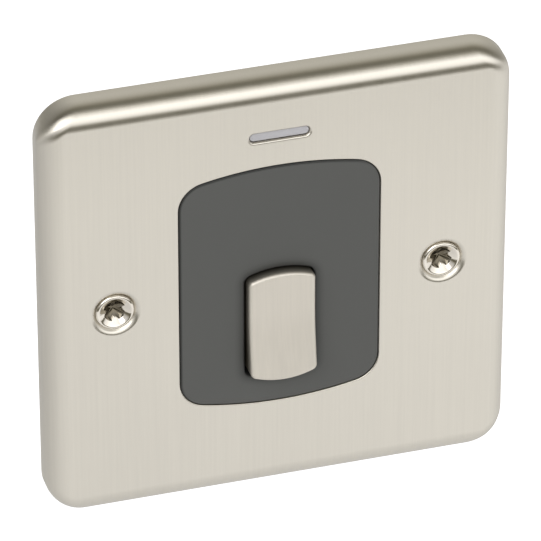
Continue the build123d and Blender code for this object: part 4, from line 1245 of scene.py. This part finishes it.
class BuildStage(Operator):
    """Set the camera, the floor and the light"""

    bl_idname = "switch_looks.stage"
    bl_label = "Stage"

    def execute(self, context):
        scene, stage = context.scene, context.scene.switch_stage
        scene.view_settings.view_transform = "Standard"
        self.camera(scene, stage)
        self.floor(stage)
        self.world(scene)
        self.key(stage)
        return {"FINISHED"}

    def camera(self, scene, stage):
        """The photograph's camera."""
        data = bpy.data.cameras.new("switch_camera")
        data.sensor_width, data.lens, data.clip_start = stage.sensor, stage.lens, CLIP_START
        scene.camera = aimed(data, stage.azimuth, stage.elevation, stage.distance, stage.aim)

    def floor(self, stage):
        """A pale floor that keeps a soft shadow and shows a pool of light in reflections."""
        half, front = stage.floor_size / 2, -stage.floor_front
        mesh = bpy.data.meshes.new("studio_floor")
        corners = [(-half, front, 0.0), (half, front, 0.0), (half, half, 0.0), (-half, half, 0.0)]
        mesh.from_pydata(corners, [], [range(len(corners))])
        floor = placed(mesh, "studio_floor")
        floor.location.z = -stage.floor_drop
        material = bpy.data.materials.new("studio_floor")
        tree = bare_tree(material)
        rays = add(tree, "ShaderNodeLightPath")
        place = add(tree, "ShaderNodeSeparateXYZ", {0: here(tree)})
        before = calc(tree, "SUBTRACT", place["X"], place["Y"])
        pool = calc(tree, "MULTIPLY", ranged(tree, before, **POOL), ranged(tree, before, **POOL_END))
        pool = calc(tree, "MULTIPLY", pool, rays["Is Glossy Ray"])
        pool = calc(tree, "MULTIPLY", pool, FLOOR_POOL)
        level = calc(tree, "ADD", calc(tree, "MULTIPLY", seen(tree, rays), FLOOR_SEEN), pool)
        plain = add(tree, "ShaderNodeBsdfDiffuse", {"Color": (*stage.floor, 1.0)})
        glow = add(tree, "ShaderNodeEmission", {"Color": (1.0, 1.0, 1.0, 1.0), "Strength": level})
        both = add(tree, "ShaderNodeAddShader", {0: plain[0], 1: glow[0]})
        add(tree, "ShaderNodeOutputMaterial", {"Surface": both[0]})
        mesh.materials.append(material)

    def world(self, scene):
        """A soft studio room with a bright front and a dark ceiling, and white for the camera."""
        scene.world = bpy.data.worlds.new("studio_room")
        tree = bare_tree(scene.world)
        rays = add(tree, "ShaderNodeLightPath")
        diffuse = rays["Is Diffuse Ray"]
        way = add(tree, "ShaderNodeTexCoord")["Generated"]
        way = add(tree, "ShaderNodeSeparateXYZ", {0: way})
        rise = calc(tree, "ARCTAN2", way["Z"], calc(tree, "MULTIPLY", way["Y"], -1.0))
        turn = calc(tree, "ADD", calc(tree, "DIVIDE", rise, 2 * pi), 0.5)
        warm = add(tree, "ShaderNodeValToRGB", {"Fac": turn})["Color"]
        stops = warm.node.color_ramp.elements
        while len(stops) < len(ROOM):
            stops.new(0.5)
        for stop, (degrees, tone) in zip(stops, ROOM.items()):
            stop.position = (degrees + 180) / 360
            dusk = max(0.0, 1.0 - tone)
            stop.color = (*(tone / ROOM_GAIN * (1.0 - loss * dusk) for loss in DUSK), 1.0)
        grey = add(tree, "ShaderNodeRGBToBW", {0: warm})[0]
        aside = calc(tree, "ABSOLUTE", calc(tree, "SUBTRACT", way["X"], SOFTBOX))
        dim = calc(tree, "MULTIPLY", ranged(tree, aside, **SIDES), ranged(tree, way["Z"], **HORIZON))
        soft = calc(tree, "SUBTRACT", ROOM_GAIN, calc(tree, "MULTIPLY", diffuse, DIFFUSE_LOSS))
        level = calc(tree, "MULTIPLY", soft, calc(tree, "SUBTRACT", 1.0, dim))
        behind = calc(tree, "MULTIPLY", ranged(tree, way["Y"], **BACK), diffuse)
        level = calc(tree, "MULTIPLY", level, calc(tree, "ADD", 1.0, behind))
        tint = mixed(tree, diffuse, warm, grey)
        room = add(tree, "ShaderNodeBackground", {"Color": tint, "Strength": level})
        white = add(tree, "ShaderNodeBackground", {"Color": (1.0, 1.0, 1.0, 1.0), "Strength": 1.0})
        inputs = {"Fac": seen(tree, rays), 1: room[0], 2: white[0]}
        choice = add(tree, "ShaderNodeMixShader", inputs)
        add(tree, "ShaderNodeOutputWorld", {"Surface": choice[0]})

    def key(self, stage):
        """A soft key light from the upper left."""
        data = bpy.data.lights.new("studio_key", "AREA")
        data.energy, data.size = stage.key_power, stage.key_size
        aimed(data, stage.key_azimuth, stage.key_elevation, stage.key_distance)


class SWITCH_PT_looks(Panel):
    """The switch's pieces in the order in which they are built"""

    bl_label = "Double pole switch"
    bl_idname = "SWITCH_PT_looks"
    bl_space_type = "VIEW_3D"
    bl_region_type = "UI"
    bl_category = "Switch"

    def draw(self, context):
        column = self.layout.column(align=True)
        for operator in OPERATORS:
            column.operator(operator.bl_idname)
        for key in SETTINGS:
            group = getattr(context.scene, key)
            box = self.layout.box()
            for prop in group.bl_rna.properties:
                if prop.identifier not in ("rna_type", "name"):
                    box.prop(group, prop.identifier)


SETTINGS = {
    "switch_plate": PlateSettings,
    "switch_insert": InsertSettings,
    "switch_rocker": RockerSettings,
    "switch_lamp": LampSettings,
    "switch_screws": ScrewSettings,
    "switch_springs": SpringSettings,
    "switch_finish": FinishSettings,
    "switch_stage": StageSettings,
}
OPERATORS = (
    MakeFinishes,
    BuildPlate,
    BuildInsert,
    BuildRocker,
    BuildLens,
    BuildFixingScrews,
    BuildRearScrews,
    BuildSprings,
    BuildStage,
)


def register():
    """Register the settings, the operators and the panel."""
    for key, group in SETTINGS.items():
        bpy.utils.register_class(group)
        setattr(bpy.types.Scene, key, PointerProperty(type=group))
    for operator in OPERATORS:
        bpy.utils.register_class(operator)
    bpy.utils.register_class(SWITCH_PT_looks)


def unregister():
    """Take everything out again."""
    bpy.utils.unregister_class(SWITCH_PT_looks)
    for operator in reversed(OPERATORS):
        bpy.utils.unregister_class(operator)
    for key, group in SETTINGS.items():
        delattr(bpy.types.Scene, key)
        bpy.utils.unregister_class(group)


def main():
    """Build the switch."""
    register()
    bpy.ops.switch_looks.finishes()
    bpy.ops.switch_looks.plate()
    bpy.ops.switch_looks.insert()
    bpy.ops.switch_looks.rocker()
    bpy.ops.switch_looks.lens()
    bpy.ops.switch_looks.fixing_screws()
    bpy.ops.switch_looks.rear_screws()
    bpy.ops.switch_looks.springs()
    bpy.ops.switch_looks.stage()


if __name__ == "__main__":
    main()
